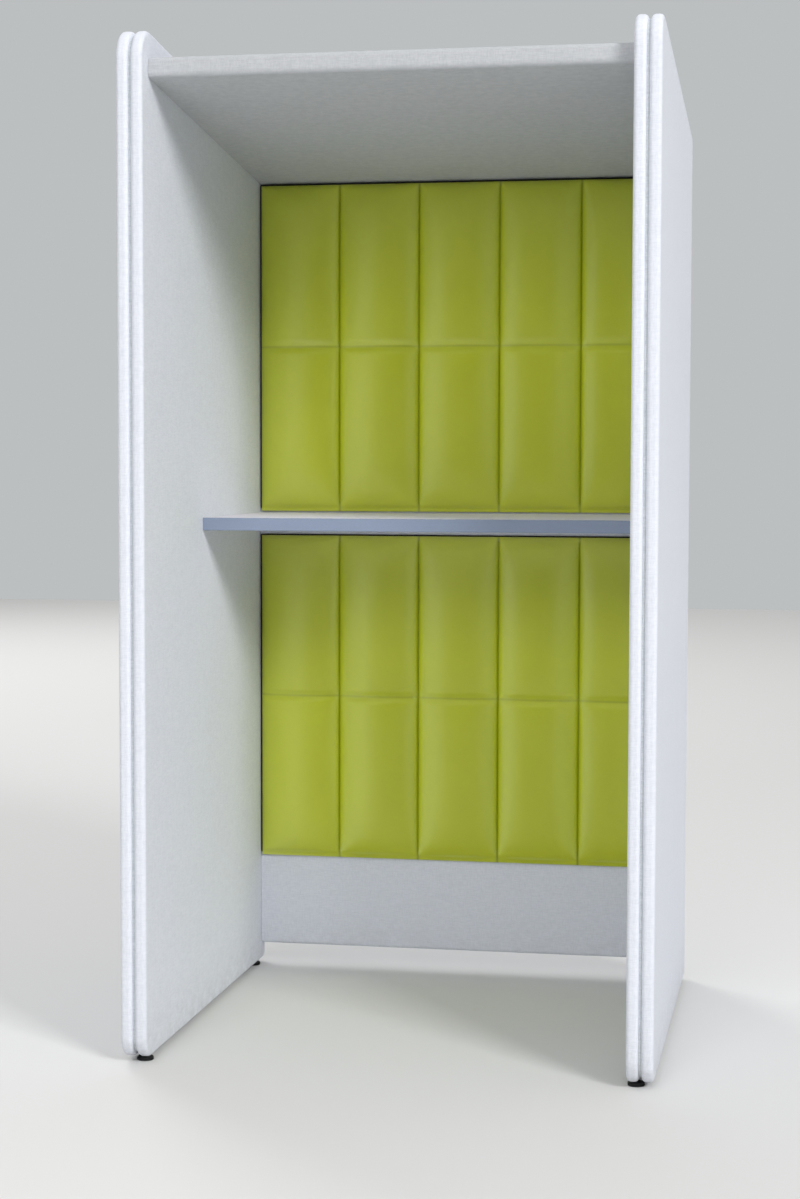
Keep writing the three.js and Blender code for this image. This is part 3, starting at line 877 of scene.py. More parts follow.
@dataclass
class SidePanel:
    """One side: two padded halves of woven cloth with a recessed core board between them."""

    side: Side
    front: float = -0.5
    rear: float = 0.5
    foot: float = 10 * MM
    front_height: float = 2.1
    front_top_radius: float = 70 * MM
    front_bottom_radius: float = 45 * MM
    rear_radius: float = 14 * MM
    corner_steps: int = 14
    roll: float = 9 * MM
    roll_steps: int = 6
    rim: float = 12 * MM
    wall: float = 3 * MM
    corner_search: float = 10 * MM
    least_panel_area: float = 1.0
    pin_hole: float = 5.4 * MM
    stud_hole: float = 4.4 * MM
    screw_hole: float = 2.4 * MM

    def node(self, name: str) -> str:
        """The name of one of this side's CAD nodes."""
        return f"{self.side.label}_{name}"

    def top_at(self, y: float) -> float:
        """The height of the sloping top at a depth."""
        return self.front_height - (y - self.front) * math.tan(TOP_SLOPE)

    def slab(self, name: str, low_x: float, high_x: float, inset: float) -> Piece:
        """Models a board with this side's outline, its corners rounded.

        Args:
            name: The piece's name.
            low_x: Where its thickness starts.
            high_x: Where its thickness ends.
            inset: How far its outline lies inside the side's own.

        Returns:
            The board.
        """
        front, rear, foot = self.front + inset, self.rear - inset, self.foot + inset
        board = start_box(name, (low_x, front, foot), (high_x, rear, self.front_height))
        slope = Vector((0, math.sin(TOP_SLOPE), math.cos(TOP_SLOPE)))
        on_top = Vector((0, self.front, self.front_height)) - inset * slope
        corners = (
            (front, foot, self.front_bottom_radius),
            (rear, foot, self.rear_radius),
            (rear, self.top_at(rear) - inset, self.rear_radius),
            (front, self.top_at(front) - inset, self.front_top_radius),
        )
        with editing(board):
            bpy.ops.mesh.select_all(action="SELECT")
            bpy.ops.mesh.bisect(plane_co=on_top, plane_no=slope, use_fill=True, clear_outer=True)
            for y, z, radius in corners:
                here = Vector((0, y, z))
                choose(
                    board,
                    Element.EDGE,
                    lambda edge, here=here: runs_along(edge, 0)
                    and (edge.verts[0].co.yz - here.yz).length < self.corner_search,
                )
                round_edges(radius - inset, self.corner_steps)
        return board

    def half(self, cover: str, towards_core: int) -> Piece:
        """Models a padded half: rolled edges, hollow towards the core board.

        Args:
            cover: The cover it stands for.
            towards_core: The sign of X in which the core board lies.

        Returns:
            The half.
        """
        node = self.node(cover)
        low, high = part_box(node)
        half = self.slab(f"{node}_cloth", low.x, high.x, 0.0)
        with editing(half):
            choose(
                half,
                Element.EDGE,
                lambda edge: any(abs(face.normal.x) > SQUARE_ON for face in edge.link_faces)
                and not runs_along(edge, 0),
            )
            round_edges(self.roll, self.roll_steps)
            choose(
                half,
                Element.FACE,
                lambda face: face.normal.x * towards_core > SQUARE_ON
                and face.calc_area() > self.least_panel_area,
            )
            bpy.ops.mesh.inset(thickness=self.rim - self.roll)
            push((-towards_core * (high.x - low.x - self.wall), 0, 0))
        return half

    def bores(self) -> list[Bore]:
        """The holes in the inner half: for pins, bracket screws and foot studs."""
        through = 80 * MM
        found = [Bore(middle_of(self.node(pin)), self.pin_hole, 2 * through) for pin in PINS]
        for end in End:
            place = f"{end.label}_{self.side.label}"
            found.append(Bore(middle_of(f"{place}_side_screw"), self.screw_hole, through))
            stud = middle_of(f"{place}_foot_stud")
            found.append(Bore(Vector((stud.x, stud.y, 0.0)), self.stud_hole, through, upright=True))
        return found

    def names(self) -> tuple[tuple[str, str], ...]:
        """The side's pieces: what each is called, and the CAD node it stands for."""
        inner, outer = self.node("inner_cover"), self.node("outer_cover")
        band = (self.node("groove_band"), self.node("core_board"))
        return (f"{inner}_cloth", inner), (f"{outer}_cloth", outer), band

    def model(self) -> list[Piece]:
        """Models the inner half, the outer half and the core board between them.

        Returns:
            The pieces, in the order of their names.
        """
        outward = self.side.value
        inner_half = self.half("inner_cover", outward)
        drill(inner_half, self.bores())
        outer_half = self.half("outer_cover", -outward)
        low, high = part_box(self.node("core_board"))
        return [inner_half, outer_half, self.slab(self.node("groove_band"), low.x, high.x, self.roll)]

    def mirror(self, pieces: Sequence[Piece]) -> list[Piece]:
        """Copies the other side's pieces across the pod.

        Args:
            pieces: The other side's pieces, in the order of their names.

        Returns:
            This side's pieces.
        """
        across = Matrix.Scale(-1.0, 4, (1.0, 0.0, 0.0))
        return [copy_piece(piece, name, across) for piece, (name, _) in zip(pieces, self.names())]

    def dress(self, pieces: Sequence[Piece], finishes: Finishes) -> None:
        """Dresses the side's pieces and what stays in sight inside it.

        Args:
            pieces: The side's pieces, in the order of their names.
            finishes: The pod's finishes.
        """
        for piece, (_, node) in zip(pieces, self.names()):
            smooth(piece)
            if node == self.node("core_board"):
                fit_out(piece, finishes.band, Slot.EDGE_BOARD, POD, node)
            else:
                fit_out(piece, finishes.cloth, Slot.PANEL_FABRIC, POD, node)
        finishes.dress_nodes(finishes.timber, [self.node("inner_frame")])
        fillings = ("upper_infill", "lower_infill", "outer_infill")
        finishes.dress_nodes(finishes.felt, [self.node(name) for name in fillings])
        finishes.dress_nodes(finishes.steel, [self.node(pin) for pin in PINS])


@dataclass
class CoveredBoard:
    """A board in a sleeve of woven cloth, such as the roof or the back panel."""

    node: str
    core: str
    radius: float
    edge_steps: int = 6
    cloth: float = 3 * MM

    def sleeve(self, board: Piece) -> None:
        """Rounds a board's long edges and hollows it into a sleeve, open at its two ends.

        Args:
            board: The board as a plain block.
        """
        with editing(board):
            choose(board, Element.EDGE, lambda edge: runs_along(edge, 0))
            round_edges(self.radius, self.edge_steps)
            choose(board, Element.FACE, lambda face: abs(face.normal.x) > SQUARE_ON)
            bpy.ops.mesh.delete(type="ONLY_FACE")
        wall = board.modifiers.new("Cloth", "SOLIDIFY")
        wall.thickness = self.cloth
        wall.offset = -1.0
        wall.use_even_offset = True
        apply_modifier(board, wall)
        smooth(board)

    def dress(self, board: Piece, finishes: Finishes) -> None:
        """Dresses the sleeve and its core.

        Args:
            board: The sleeve.
            finishes: The pod's finishes.
        """
        # The roof takes the darker cloth, which is painted shade for its underside.
        cloth = finishes.roof_cloth if self.node == "roof_cover" else finishes.cloth
        fit_out(board, cloth, Slot.PANEL_FABRIC, POD, self.node)
        finishes.dress_nodes(finishes.timber, [self.core])


@dataclass
class Roof(CoveredBoard):
    """The sloping roof panel."""

    node: str = "roof_cover"
    core: str = "roof_core"
    radius: float = 12 * MM
    thickness: float = 42 * MM
    front: float = -0.454
    rear: float = 0.5
    front_top: float = 2.1 - 54 * MM - 46 * MM * math.tan(TOP_SLOPE)

    def tilt(self) -> Matrix:
        """The move from the roof's own frame, at the top of its front edge, to the pod's."""
        return Matrix.Translation((0, self.front, self.front_top)) @ Matrix.Rotation(-TOP_SLOPE, 4, "X")

    def build(self, finishes: Finishes) -> None:
        """Models and dresses the roof.

        Args:
            finishes: The pod's finishes.
        """
        low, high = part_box(self.node)
        length = (self.rear - self.front) / math.cos(TOP_SLOPE)
        board = start_box("roof_cloth", (low.x, 0, -self.thickness), (high.x, length, 0))
        self.sleeve(board)
        board.data.transform(self.tilt())
        self.dress(board, finishes)


@dataclass
class BackPanel(CoveredBoard):
    """The upright back panel, cut to the roof's slope at its top."""

    node: str = "back_cover"
    core: str = "back_core"
    radius: float = 9 * MM

    def build(self, finishes: Finishes) -> None:
        """Models and dresses the back panel.

        Args:
            finishes: The pod's finishes.
        """
        low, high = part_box(self.node)
        board = start_box("back_cloth", low, high)
        drop = (high.y - low.y) * math.tan(TOP_SLOPE)
        with editing(board):
            choose(
                board, Element.VERTEX, lambda vert: vert.co.z > high.z - NEAR and vert.co.y > high.y - NEAR
            )
            bpy.ops.transform.translate(value=(0, 0, -drop))
        self.sleeve(board)
        self.dress(board, finishes)


@dataclass
class QuiltedPad:
    """A leatherette pad of padded tiles, sewn down in straight channels, with a flat hem at its foot."""

    name: str
    columns: int = 5
    rows: int = 2
    hem: float = 8 * MM
    seam_height: float = 2.5 * MM
    crown: float = 32 * MM
    plumpness: float = 0.6
    fold_depth: float = 0.26
    fold_reach: float = 10 * MM
    # Share of the painted shade that the cross fold takes, beside the channels' full share.
    fold_mark: float = 0.45
    dip_depth: float = 0.1
    dip_reach: float = 45 * MM
    steps_across: int = 24
    steps_up: int = 48
    pressure: float = 4.0
    frames: int = 14
    # Width of the painted shade along each channel and fold.
    fold_width: float = 2.6 * MM
    crease: float = 0.9
    smooth_deg: float = 60.0
    border_radius: float = 1.2 * MM
    border_steps: int = 3
    border_near: float = 0.1 * MM
    # How far the board reaches past its CAD box, to fill the gaps round the pad with its painted shade.
    board_edge: float = 9.5 * MM
    board_corner: float = 3 * MM
    board_corner_steps: int = 4
    board_arris: float = 0.5 * MM
    board_arris_steps: int = 2
    low: Vector = field(init=False)
    high: Vector = field(init=False)

    def __post_init__(self) -> None:
        """Takes the pad's box from its CAD node."""
        self.low, self.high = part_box(f"{self.name}_pad")

    def seam_plane(self) -> float:
        """The depth at which the channels are sewn down."""
        return self.high.y - self.seam_height

    def channels(self) -> tuple[list[float], list[float]]:
        """Where the channels and the border lie.

        Returns:
            Their places along X, and their places along Z.
        """
        foot = self.low.z + self.hem
        across = (self.high.x - self.low.x) / self.columns
        up = (self.high.z - foot) / self.rows
        return (
            [self.low.x + across * index for index in range(self.columns + 1)],
            [foot + up * index for index in range(self.rows + 1)],
        )

    def sewn(self, place: Vector) -> bool:
        """True if a place lies on an upright channel or on the border, which are sewn down."""
        across, up = self.channels()
        lines = [abs(place.x - x) for x in across] + [abs(place.z - z) for z in (up[0], up[-1])]
        return min(lines) < NEAR

    def creased(self, place: Vector) -> bool:
        """True if a place lies on any channel or on the border."""
        _, up = self.channels()
        return self.sewn(place) or min(abs(place.z - z) for z in up) < NEAR

    def sheet(self) -> Piece:
        """Lays out the flat leatherette as a fine grid, its channels marked for sewing.

        Returns:
            The sheet.
        """
        across, up = self.channels()
        size = Vector((across[-1] - across[0], up[-1] - up[0], 1.0))
        sheet = start_shape(
            bpy.ops.mesh.primitive_grid_add,
            f"{self.name}_quilt",
            size,
            x_subdivisions=self.columns * self.steps_across,
            y_subdivisions=self.rows * self.steps_up,
            size=1.0,
            location=((across[0] + across[-1]) / 2, self.seam_plane(), (up[0] + up[-1]) / 2),
            rotation=(math.pi / 2, 0, 0),
        )
        sewn = [vert.index for vert in sheet.data.vertices if self.sewn(vert.co)]
        sheet.vertex_groups.new(name="sewn").add(sewn, 1.0, "REPLACE")
        return sheet

    def inflate(self, sheet: Piece) -> None:
        """Fills the tiles by a cloth simulation, held at the channels, and applies it.

        Args:
            sheet: The flat sheet.
        """
        cloth = sheet.modifiers.new("Filling", "CLOTH")
        settings = cloth.settings
        settings.quality = 6
        settings.mass = 0.3
        settings.air_damping = 3.0
        settings.tension_stiffness = settings.compression_stiffness = 25.0
        settings.shear_stiffness = 12.0
        settings.bending_stiffness = 1.2
        settings.vertex_group_mass = "sewn"
        settings.use_pressure = True
        settings.uniform_pressure_force = self.pressure
        settings.effector_weights.gravity = 0.0
        cloth.collision_settings.use_collision = False
        scene = bpy.context.scene
        for number in range(1, self.frames + 1):
            scene.frame_set(number)
        apply_modifier(sheet, cloth)
        scene.frame_set(1)

    def settle_crown(self, sheet: Piece) -> None:
        """Scales the filled tiles to the pad's own thickness, with full shoulders.

        Args:
            sheet: The filled sheet.
        """
        plane = self.seam_plane()
        highest = max(plane - vert.co.y for vert in sheet.data.vertices)
        LOG.info("%s: tiles stood %.1f mm proud before they were settled", sheet.name, highest / MM)
        _, up = self.channels()
        for vert in sheet.data.vertices:
            share = max(0.0, plane - vert.co.y) / highest
            away = min(abs(vert.co.z - z) for z in up[1:-1])
            fold = self.fold_depth * math.exp(-((away / self.fold_reach) ** 2))
            dip = self.dip_depth * math.exp(-((away / self.dip_reach) ** 2))
            vert.co.y = plane - self.crown * share**self.plumpness * (1 - fold - dip)

    def round_tiles(self, sheet: Piece) -> None:
        """Rounds the filled tiles, with their channels kept sharp.

        Args:
            sheet: The filled sheet.
        """
        with editing(sheet):
            choose_edges(sheet, self.creased)
            bpy.ops.transform.edge_crease(value=self.crease)
        rounding = sheet.modifiers.new("Rounding", "SUBSURF")
        rounding.levels = rounding.render_levels = 1
        rounding.boundary_smooth = "PRESERVE_CORNERS"
        apply_modifier(sheet, rounding)

    def close(self, sheet: Piece) -> None:
        """Adds the hem, the sides and the back.

        Args:
            sheet: The rounded sheet.
        """
        _, up = self.channels()
        plane = self.seam_plane()
        with editing(sheet):
            choose(
                sheet,
                Element.EDGE,
                lambda edge: edge.is_boundary
                and all(abs(vert.co.z - up[0]) < self.border_near for vert in edge.verts),
            )
            push((0, 0, -self.hem))
            choose(sheet, Element.EDGE, lambda edge: edge.is_boundary)
            push((0, self.seam_height, 0))
            bpy.ops.mesh.edge_face_add()
            bpy.ops.mesh.select_all(action="SELECT")
            bpy.ops.mesh.normals_make_consistent(inside=False)
            choose(
                sheet,
                Element.EDGE,
                lambda edge: any(
                    abs(face.normal.y) < 0.1 and face.calc_center_median().y > plane + 1 * MM
                    for face in edge.link_faces
                )
                and all(vert.co.y < plane + 0.5 * MM for vert in edge.verts),
            )
            round_edges(self.border_radius, self.border_steps)

    def mark_folds(self, pad: Piece) -> None:
        """Writes how deep each vertex lies in a sewn fold, the mask of the painted shade that the finish puts
        there.

        Args:
            pad: The closed pad.
        """
        across, up = self.channels()
        depths = []
        for vert in pad.data.vertices:
            beside = min(abs(vert.co.x - x) for x in across[1:-1])
            above = min(abs(vert.co.z - z) for z in up[1:-1])
            channel, fold = (math.exp(-((away / self.fold_width) ** 2)) for away in (beside, above))
            depths.append(max(channel, self.fold_mark * fold))
        attribute = pad.data.attributes.new(FOLD_SHADE_ATTRIBUTE, "FLOAT", "POINT")
        attribute.data.foreach_set("value", depths)

    def backing(self) -> Piece:
        """Models the board behind the pad, reaching past it and finished near-black so that it shows as a
        painted shade line in the gaps round it.

        Returns:
            The board.
        """
        low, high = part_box(f"{self.name}_backing")
        beside = Vector((self.board_edge, 0.0, 0.0))
        above = Vector((0.0, 0.0, self.board_edge))
        board = start_box(f"{self.name}_backing_board", low - beside, high + beside + above)
        with editing(board):
            choose(board, Element.EDGE, lambda edge: runs_along(edge, 1))
            round_edges(self.board_corner, self.board_corner_steps)
            choose_edges(board, lambda place: place.y < low.y + NEAR)
            round_edges(self.board_arris, self.board_arris_steps)
        smooth(board)
        return board

    def build(self, finishes: Finishes) -> None:
        """Models and dresses the pad.

        Args:
            finishes: The pod's finishes.
        """
        pad = self.sheet()
        self.inflate(pad)
        self.round_tiles(pad)
        self.settle_crown(pad)
        self.close(pad)
        self.mark_folds(pad)
        pick(pad)
        bpy.ops.object.shade_smooth_by_angle(angle=math.radians(self.smooth_deg))
        fit_out(pad, finishes.quilt, Slot.QUILT, POD, f"{self.name}_pad")
        board = self.backing()
        fit_out(board, finishes.stained, Slot.TIMBER, POD, f"{self.name}_backing")


@dataclass
class Worktop:
    """The standing-height worktop: a laminated board with a rounded edge band."""

    board: str = "shelf_board"
    band: str = "shelf_edge_band"
    edge_radius: float = 1.4 * MM
    edge_steps: int = 4

    def build(self, finishes: Finishes) -> None:
        """Models the edge band and dresses the worktop.

        Args:
            finishes: The pod's finishes.
        """
        low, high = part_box(self.band)
        band = start_box("worktop_edge", low, high)
        with editing(band):
            choose(
                band,
                Element.EDGE,
                lambda edge: runs_along(edge, 0) and all(vert.co.y < low.y + NEAR for vert in edge.verts),
            )
            round_edges(self.edge_radius, self.edge_steps)
        smooth(band)
        fit_out(band, finishes.edge, Slot.LAMINATE_EDGE, POD, self.band)
        finishes.dress_nodes(finishes.laminate, [self.board])


@dataclass
class FootSet:
    """Four levelling feet: a moulded glide with a spanner collar, and a threaded stud."""

    glide_sides: int = 48
    top_edge: float = 2.2 * MM
    floor_edge: float = 0.8 * MM
    edge_steps: int = 4
    least_top_area: float = 1e-4
    collar_radius: float = 8.5 * MM
    collar_height: float = 2.2 * MM
    socket_radius: float = 4.3 * MM
    socket_depth: float = 5 * MM
    thread_pitch: float = 1.25 * MM
    thread_depth: float = 0.7 * MM
    thread_sides: int = 24

    def glide(self, node: str) -> Piece:
        """Models one glide.

        Args:
            node: The CAD node it stands for.

        Returns:
            The glide.
        """
        low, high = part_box(node)
        radius = (high.x - low.x) / 2
        glide = start_shape(
            bpy.ops.mesh.primitive_cylinder_add,
            f"{node}_moulding",
            vertices=self.glide_sides,
            radius=radius,
            depth=high.z - low.z,
            location=(low + high) / 2,
        )
        with editing(glide):
            for z, edge_radius in ((high.z, self.top_edge), (low.z, self.floor_edge)):
                choose_edges(glide, lambda place, z=z: abs(place.z - z) < NEAR)
                round_edges(edge_radius, self.edge_steps)
            choose(
                glide,
                Element.FACE,
                lambda face: face.normal.z > SQUARE_ON and face.calc_area() > self.least_top_area,
            )
            bpy.ops.mesh.inset(thickness=radius - self.top_edge - self.collar_radius)
            push((0, 0, self.collar_height))
            bpy.ops.mesh.inset(thickness=self.collar_radius - self.socket_radius)
            push((0, 0, -self.socket_depth))
        smooth(glide)
        return glide

    def stud(self, node: str) -> Piece:
        """Models one threaded stud.

        Args:
            node: The CAD node it stands for.

        Returns:
            The stud.
        """
        low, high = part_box(node)
        centre = (low + high) / 2
        crest = (high.x - low.x) / 2
        root = crest - self.thread_depth
        turns = math.ceil((high.z - low.z) / self.thread_pitch) + 2
        stud = start_shape(bpy.ops.mesh.primitive_plane_add, f"{node}_thread", size=1.0)
        with editing(stud):
            choose(stud, Element.VERTEX, lambda vert: vert.co.x < 0 and vert.co.y < 0)
            bpy.ops.mesh.delete(type="VERT")
            mesh = bmesh.from_edit_mesh(stud.data)
            ordered = sorted(mesh.verts, key=lambda vert: vert.co.x - vert.co.y)
            profile = ((crest, 0.0), (root, self.thread_pitch / 2), (crest, self.thread_pitch))
            for vert, (away, up) in zip(ordered, profile):
                vert.co = (away, 0.0, up)
            bmesh.update_edit_mesh(stud.data)
        helix = stud.modifiers.new("Thread", "SCREW")
        helix.screw_offset = self.thread_pitch
        helix.iterations = turns
        helix.steps = helix.render_steps = self.thread_sides
        helix.use_merge_vertices = True
        apply_modifier(stud, helix)
        stud.data.transform(Matrix.Translation((centre.x, centre.y, low.z - self.thread_pitch)))
        with editing(stud):
            for z, upward in ((low.z, -1.0), (high.z, 1.0)):
                bpy.ops.mesh.select_all(action="SELECT")
                bpy.ops.mesh.bisect(
                    plane_co=(0, 0, z), plane_no=(0, 0, upward), use_fill=True, clear_outer=True
                )
        face_outwards(stud)
        smooth(stud)
        return stud

    def build(self, finishes: Finishes) -> None:
        """Models one foot, copies it to the four corners and dresses them.

        Args:
            finishes: The pod's finishes.
        """
        feet = [f"{end.label}_{side.label}" for end in End for side in Side]
        kinds = (
            ("glide", self.glide, finishes.plastic, Slot.GLIDE),
            ("stud", self.stud, finishes.steel, Slot.STEEL),
        )
        for kind, model, material, slot in kinds:
            first_node = f"{feet[0]}_foot_{kind}"
            first = model(first_node)
            for foot in feet:
                node = f"{foot}_foot_{kind}"
                piece = first
                if node != first_node:
                    move = Matrix.Translation(middle_of(node) - middle_of(first_node))
                    piece = copy_piece(first, first.name.replace(feet[0], foot), move)
                fit_out(piece, material, slot, f"{foot}_{kind}", node)
        finishes.dress_nodes(finishes.steel, [f"{foot}_foot_insert" for foot in feet])


@dataclass
class RoofBrackets:
    """Four pressed-steel angles between the roof's top and the sides, each with two pan-head screws."""

    leg: float = 36 * MM
    width: float = 44 * MM
    steel: float = 2.5 * MM
    fit: float = 0.3 * MM
    wall: float = 487.5 * MM
    bend: float = 3.5 * MM
    corner: float = 6 * MM
    round_steps: int = 6
    hole_place: float = 21 * MM
    hole: float = 2.4 * MM
    arris: float = 0.35 * MM
    arris_steps: int = 2
    arris_deg: float = 50.0
    head_sides: int = 32
    head_radius: float = 4 * MM
    head_height: float = 2.4 * MM
    head_roundness: float = 0.7
    shank_radius: float = 2 * MM
    shank: float = 22 * MM
    recess_width: float = 1.1 * MM
    recess_span: float = 4.6 * MM
    recess_depth: float = 1.5 * MM

    def angle(self) -> Piece:
        """Models one angle at the origin: a leg along X, a leg along Z, its width along Y.

        Returns:
            The angle.
        """
        angle = start_shape(
            bpy.ops.mesh.primitive_plane_add,
            "angle",
            (self.leg, self.width, 1.0),
            size=1.0,
            location=(self.leg / 2, 0, 0),
        )
        with editing(angle):
            choose_edges(angle, lambda place: place.x < NEAR)
            push((0, 0, self.leg))
            choose_edges(angle, lambda place: max(place.x, place.z) < NEAR)
            round_edges(self.bend, self.round_steps)
            choose(angle, Element.VERTEX, lambda vert: max(vert.co.x, vert.co.z) > self.leg - NEAR)
            bpy.ops.mesh.bevel(offset=self.corner, segments=self.round_steps, affect="VERTICES")
            bpy.ops.mesh.select_all(action="SELECT")
            bpy.ops.mesh.normals_make_consistent(inside=False)
        inward = angle.data.polygons[0].normal
        plate = angle.modifiers.new("Steel", "SOLIDIFY")
        plate.thickness = self.steel
        plate.offset = 1.0 if inward.x + inward.z > 0 else -1.0
        plate.use_even_offset = True
        apply_modifier(angle, plate)
        drill(
            angle,
            [
                Bore(Vector((self.hole_place, 0, 0)), self.hole, self.leg / 2, upright=True),
                Bore(Vector((0, 0, self.hole_place)), self.hole, self.leg / 2),
            ],
        )
        edges = angle.modifiers.new("Arris", "BEVEL")
        edges.width = self.arris
        edges.segments = self.arris_steps
        edges.limit_method = "ANGLE"
        edges.angle_limit = math.radians(self.arris_deg)
        apply_modifier(angle, edges)
        face_outwards(angle)
        smooth(angle)
        return angle

    def screw(self) -> Piece:
        """Models one pan-head screw at the origin, its head along +Z and its shank below.

        Returns:
            The screw.
        """
        screw = start_shape(
            bpy.ops.mesh.primitive_cylinder_add,
            "screw",
            vertices=self.head_sides,
            radius=self.head_radius,
            depth=self.head_height,
            location=(0, 0, self.head_height / 2),
        )
        with editing(screw):
            choose_edges(screw, lambda place: place.z > self.head_height - NEAR)
            round_edges(self.head_height * self.head_roundness, self.round_steps)
            choose(screw, Element.FACE, lambda face: face.normal.z < -SQUARE_ON)
            bpy.ops.mesh.inset(thickness=self.head_radius - self.shank_radius)
            push((0, 0, -self.shank))
        top = Vector((0, 0, self.head_height))
        for span in ((self.recess_span, self.recess_width), (self.recess_width, self.recess_span)):
            half = Vector((span[0] / 2, span[1] / 2, self.recess_depth))
            carve(screw, [start_box("bar", top - half, top + half)])
        smooth(screw)
        return screw

    def build(self, finishes: Finishes, roof: Roof) -> None:
        """Models one bracket with its screws, copies them and dresses them.

        Args:
            finishes: The pod's finishes.
            roof: The roof they stand on.
        """
        angle, screw = self.angle(), self.screw()
        lift = self.fit + self.steel + self.fit
        for end in End:
            for side in Side:
                place = f"{end.label}_{side.label}"
                tilt = roof.tilt()
                along = (tilt.inverted() @ middle_of(f"{place}_bracket")).y
                inwards = Matrix.Scale(-side.value, 4, (1, 0, 0))
                corner = Matrix.Translation((side.value * (self.wall - self.fit), along, self.fit)) @ inwards
                down = Matrix.Translation((self.hole_place, 0, lift - self.fit))
                into_wall = Matrix.Translation((lift - self.fit, 0, self.hole_place)) @ Matrix.Rotation(
                    math.pi / 2, 4, "Y"
                )
                pieces = (
                    ("bracket", angle, corner, finishes.coat, Slot.BRACKET),
                    ("roof_screw", screw, corner @ down, finishes.steel, Slot.STEEL),
                    ("side_screw", screw, corner @ into_wall, finishes.steel, Slot.STEEL),
                )
                for kind, model, move, material, slot in pieces:
                    node = f"{place}_{kind}"
                    piece = copy_piece(model, f"{node}_fitted", tilt @ move)
                    fit_out(piece, material, slot, POD, node)
        bpy.data.objects.remove(angle)
        bpy.data.objects.remove(screw)


# Studio


@dataclass(frozen=True)
class Lamp:
    """One soft rectangular lamp, aimed at a point of the pod."""

    name: str
    place: tuple[float, float, float]
    aim: tuple[float, float, float]
    size: float
    watts: float
    mirrored: bool = True
    spread_deg: float = 180.0

    def hang(self) -> None:
        """Hangs the lamp."""
        light = bpy.data.lights.new(self.name, "AREA")
        light.size = self.size
        light.energy = self.watts
        light.spread = math.radians(self.spread_deg)
        lamp = bpy.data.objects.new(self.name, light)
        bpy.context.scene.collection.objects.link(lamp)
        lamp.location = self.place
        lamp.visible_glossy = self.mirrored
        lamp.rotation_euler = (Vector(self.aim) - Vector(self.place)).to_track_quat("-Z", "Y").to_euler()


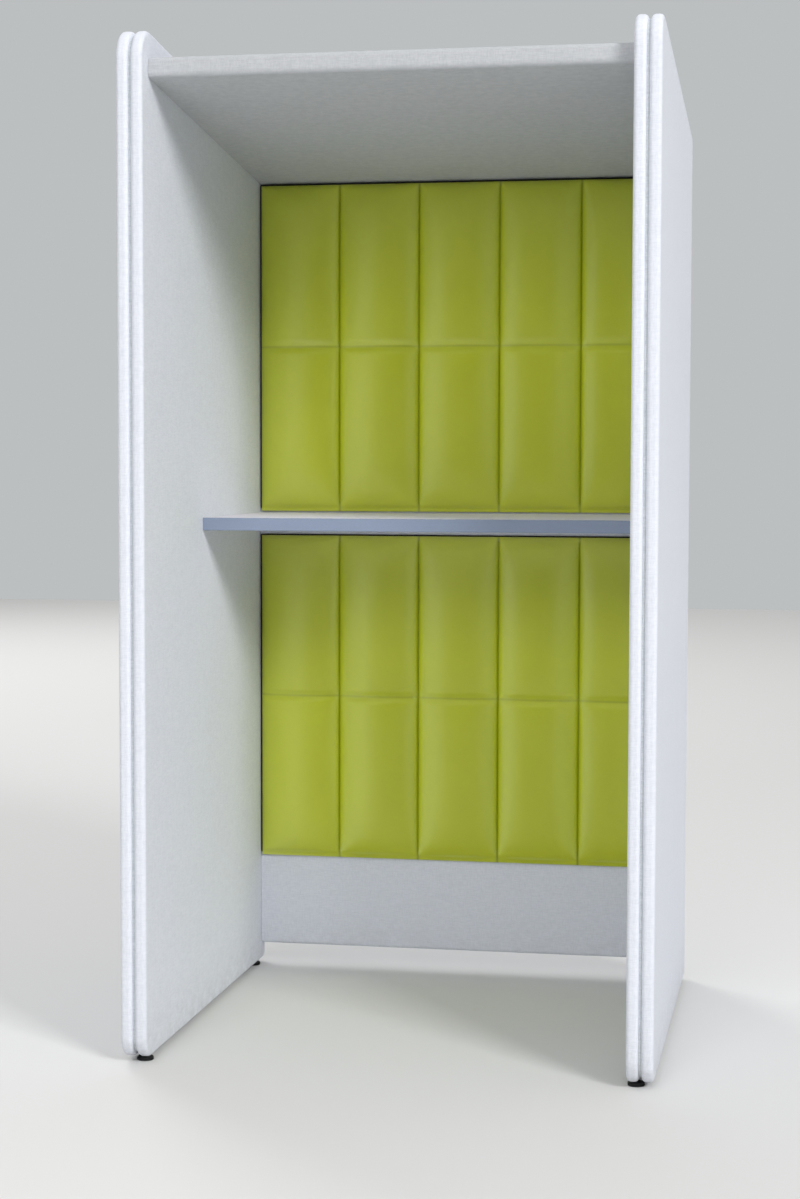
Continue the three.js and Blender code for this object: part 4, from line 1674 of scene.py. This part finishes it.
@dataclass
class Studio:
    """A pale floor, soft light and the camera at the photograph's angle."""

    camera_place: tuple[float, float, float] = (0.85835, -4.87672, 1.23735)
    yaw_deg: float = 10.6297
    pitch_deg: float = -3.5589
    roll_deg: float = 0.1209
    lens: float = 68.005
    sensor: float = 36.0
    floor_half: float = 14.0
    floor_roughness: float = 0.9
    floor_colour: Colour = screen(226, 226, 225)
    # The floor's colour as glossy rays see it, a painted darkening of its reflections.
    floor_mirrored: Colour = screen(84, 84, 84)
    backdrop: Colour = screen(188, 191, 192)
    horizon_light: float = 0.12
    zenith_light: float = 0.8
    mirrored_share: float = 0.12
    light_from: float = 0.2
    light_to: float = 0.85
    lamps: tuple[Lamp, ...] = (
        Lamp("Key", (8.4, -8.3, 7.4), (-0.2, 0.0, 0.9), 3.4, 412.0, mirrored=False, spread_deg=120.0),
        Lamp("Fill", (-1.4, -9.5, 5.3), (0.0, 0.4, 0.9), 3.4, 91.0, mirrored=False, spread_deg=120.0),
        Lamp("Rear", (-7.0, 9.0, 8.0), (0.0, 0.0, 1.2), 5.0, 520.0),
    )

    def place_camera(self) -> None:
        """Puts the camera at the photograph's place."""
        data = bpy.data.cameras.new("Camera")
        data.lens = self.lens
        data.sensor_width = self.sensor
        camera = bpy.data.objects.new("Camera", data)
        bpy.context.scene.collection.objects.link(camera)
        turn = (
            Matrix.Rotation(math.radians(self.yaw_deg), 4, "Z")
            @ Matrix.Rotation(math.radians(90 + self.pitch_deg), 4, "X")
            @ Matrix.Rotation(math.radians(self.roll_deg), 4, "Z")
        )
        camera.matrix_world = Matrix.Translation(self.camera_place) @ turn
        bpy.context.scene.camera = camera

    def lay_floor(self) -> None:
        """Lays the pale floor; glossy rays see it dark grey, a painted darkening of its reflections."""
        floor = start_shape(bpy.ops.mesh.primitive_plane_add, "studio_floor", size=2 * self.floor_half)
        material = bpy.data.materials.new("Pale floor")
        material.use_nodes = True
        shader = material.node_tree.nodes["Principled BSDF"]
        wiring = Wiring(material.node_tree)
        mirrored = wiring.add("LightPath").outputs["Is Glossy Ray"]
        colour = wiring.blend(mirrored, self.floor_colour, self.floor_mirrored)
        wiring.feed(shader.inputs["Base Color"], colour)
        shader.inputs["Roughness"].default_value = self.floor_roughness
        floor.data.materials.append(material)

    def light_world(self) -> None:
        """Lights the world softly from above, and shows the camera a pale backdrop."""
        world = bpy.data.worlds.new("Studio")
        bpy.context.scene.world = world
        world.use_nodes = True
        wiring = Wiring(world.node_tree)
        sky = world.node_tree.nodes["Background"]
        sky.inputs["Color"].default_value = (1.0, 1.0, 1.0, 1.0)
        path = wiring.add("LightPath")
        parts = wiring.add("SeparateXYZ")
        wiring.feed(parts.inputs[0], wiring.add("TexCoord").outputs["Generated"])
        rise = wiring.add("MapRange", clamp=True, interpolation_type="SMOOTHSTEP")
        levels = (parts.outputs[2], self.light_from, self.light_to, self.horizon_light, self.zenith_light)
        for socket, value in zip(rise.inputs, levels):
            wiring.feed(socket, value)
        mirrored = wiring.spread(path.outputs["Is Glossy Ray"], 0.0, 1.0, 1.0, self.mirrored_share)
        wiring.feed(sky.inputs["Strength"], wiring.math("MULTIPLY", rise.outputs[0], mirrored))
        seen = wiring.add("Background")
        seen.inputs["Color"].default_value = (*self.backdrop, 1.0)
        mix = wiring.add("MixShader")
        parts_mixed = (path.outputs["Is Camera Ray"], sky.outputs[0], seen.outputs[0])
        for socket, value in zip(mix.inputs, parts_mixed):
            wiring.feed(socket, value)
        wiring.feed(world.node_tree.nodes["World Output"].inputs["Surface"], mix.outputs[0])

    def build(self) -> None:
        """Builds the studio."""
        bpy.context.scene.view_settings.view_transform = "Standard"
        self.place_camera()
        self.lay_floor()
        self.light_world()
        for lamp in self.lamps:
            lamp.hang()


def main() -> None:
    """Builds the pod's looks piece by piece, then the studio."""
    logging.basicConfig(level=logging.INFO, format="%(message)s")
    finishes = Finishes()
    roof = Roof()
    right, left = SidePanel(Side.RIGHT), SidePanel(Side.LEFT)
    right_pieces = right.model()
    left.dress(left.mirror(right_pieces), finishes)
    right.dress(right_pieces, finishes)
    roof.build(finishes)
    BackPanel().build(finishes)
    for name in ("upper", "lower"):
        QuiltedPad(name).build(finishes)
    Worktop().build(finishes)
    FootSet().build(finishes)
    RoofBrackets().build(finishes, roof)
    Studio().build()


if __name__ == "__main__":
    main()
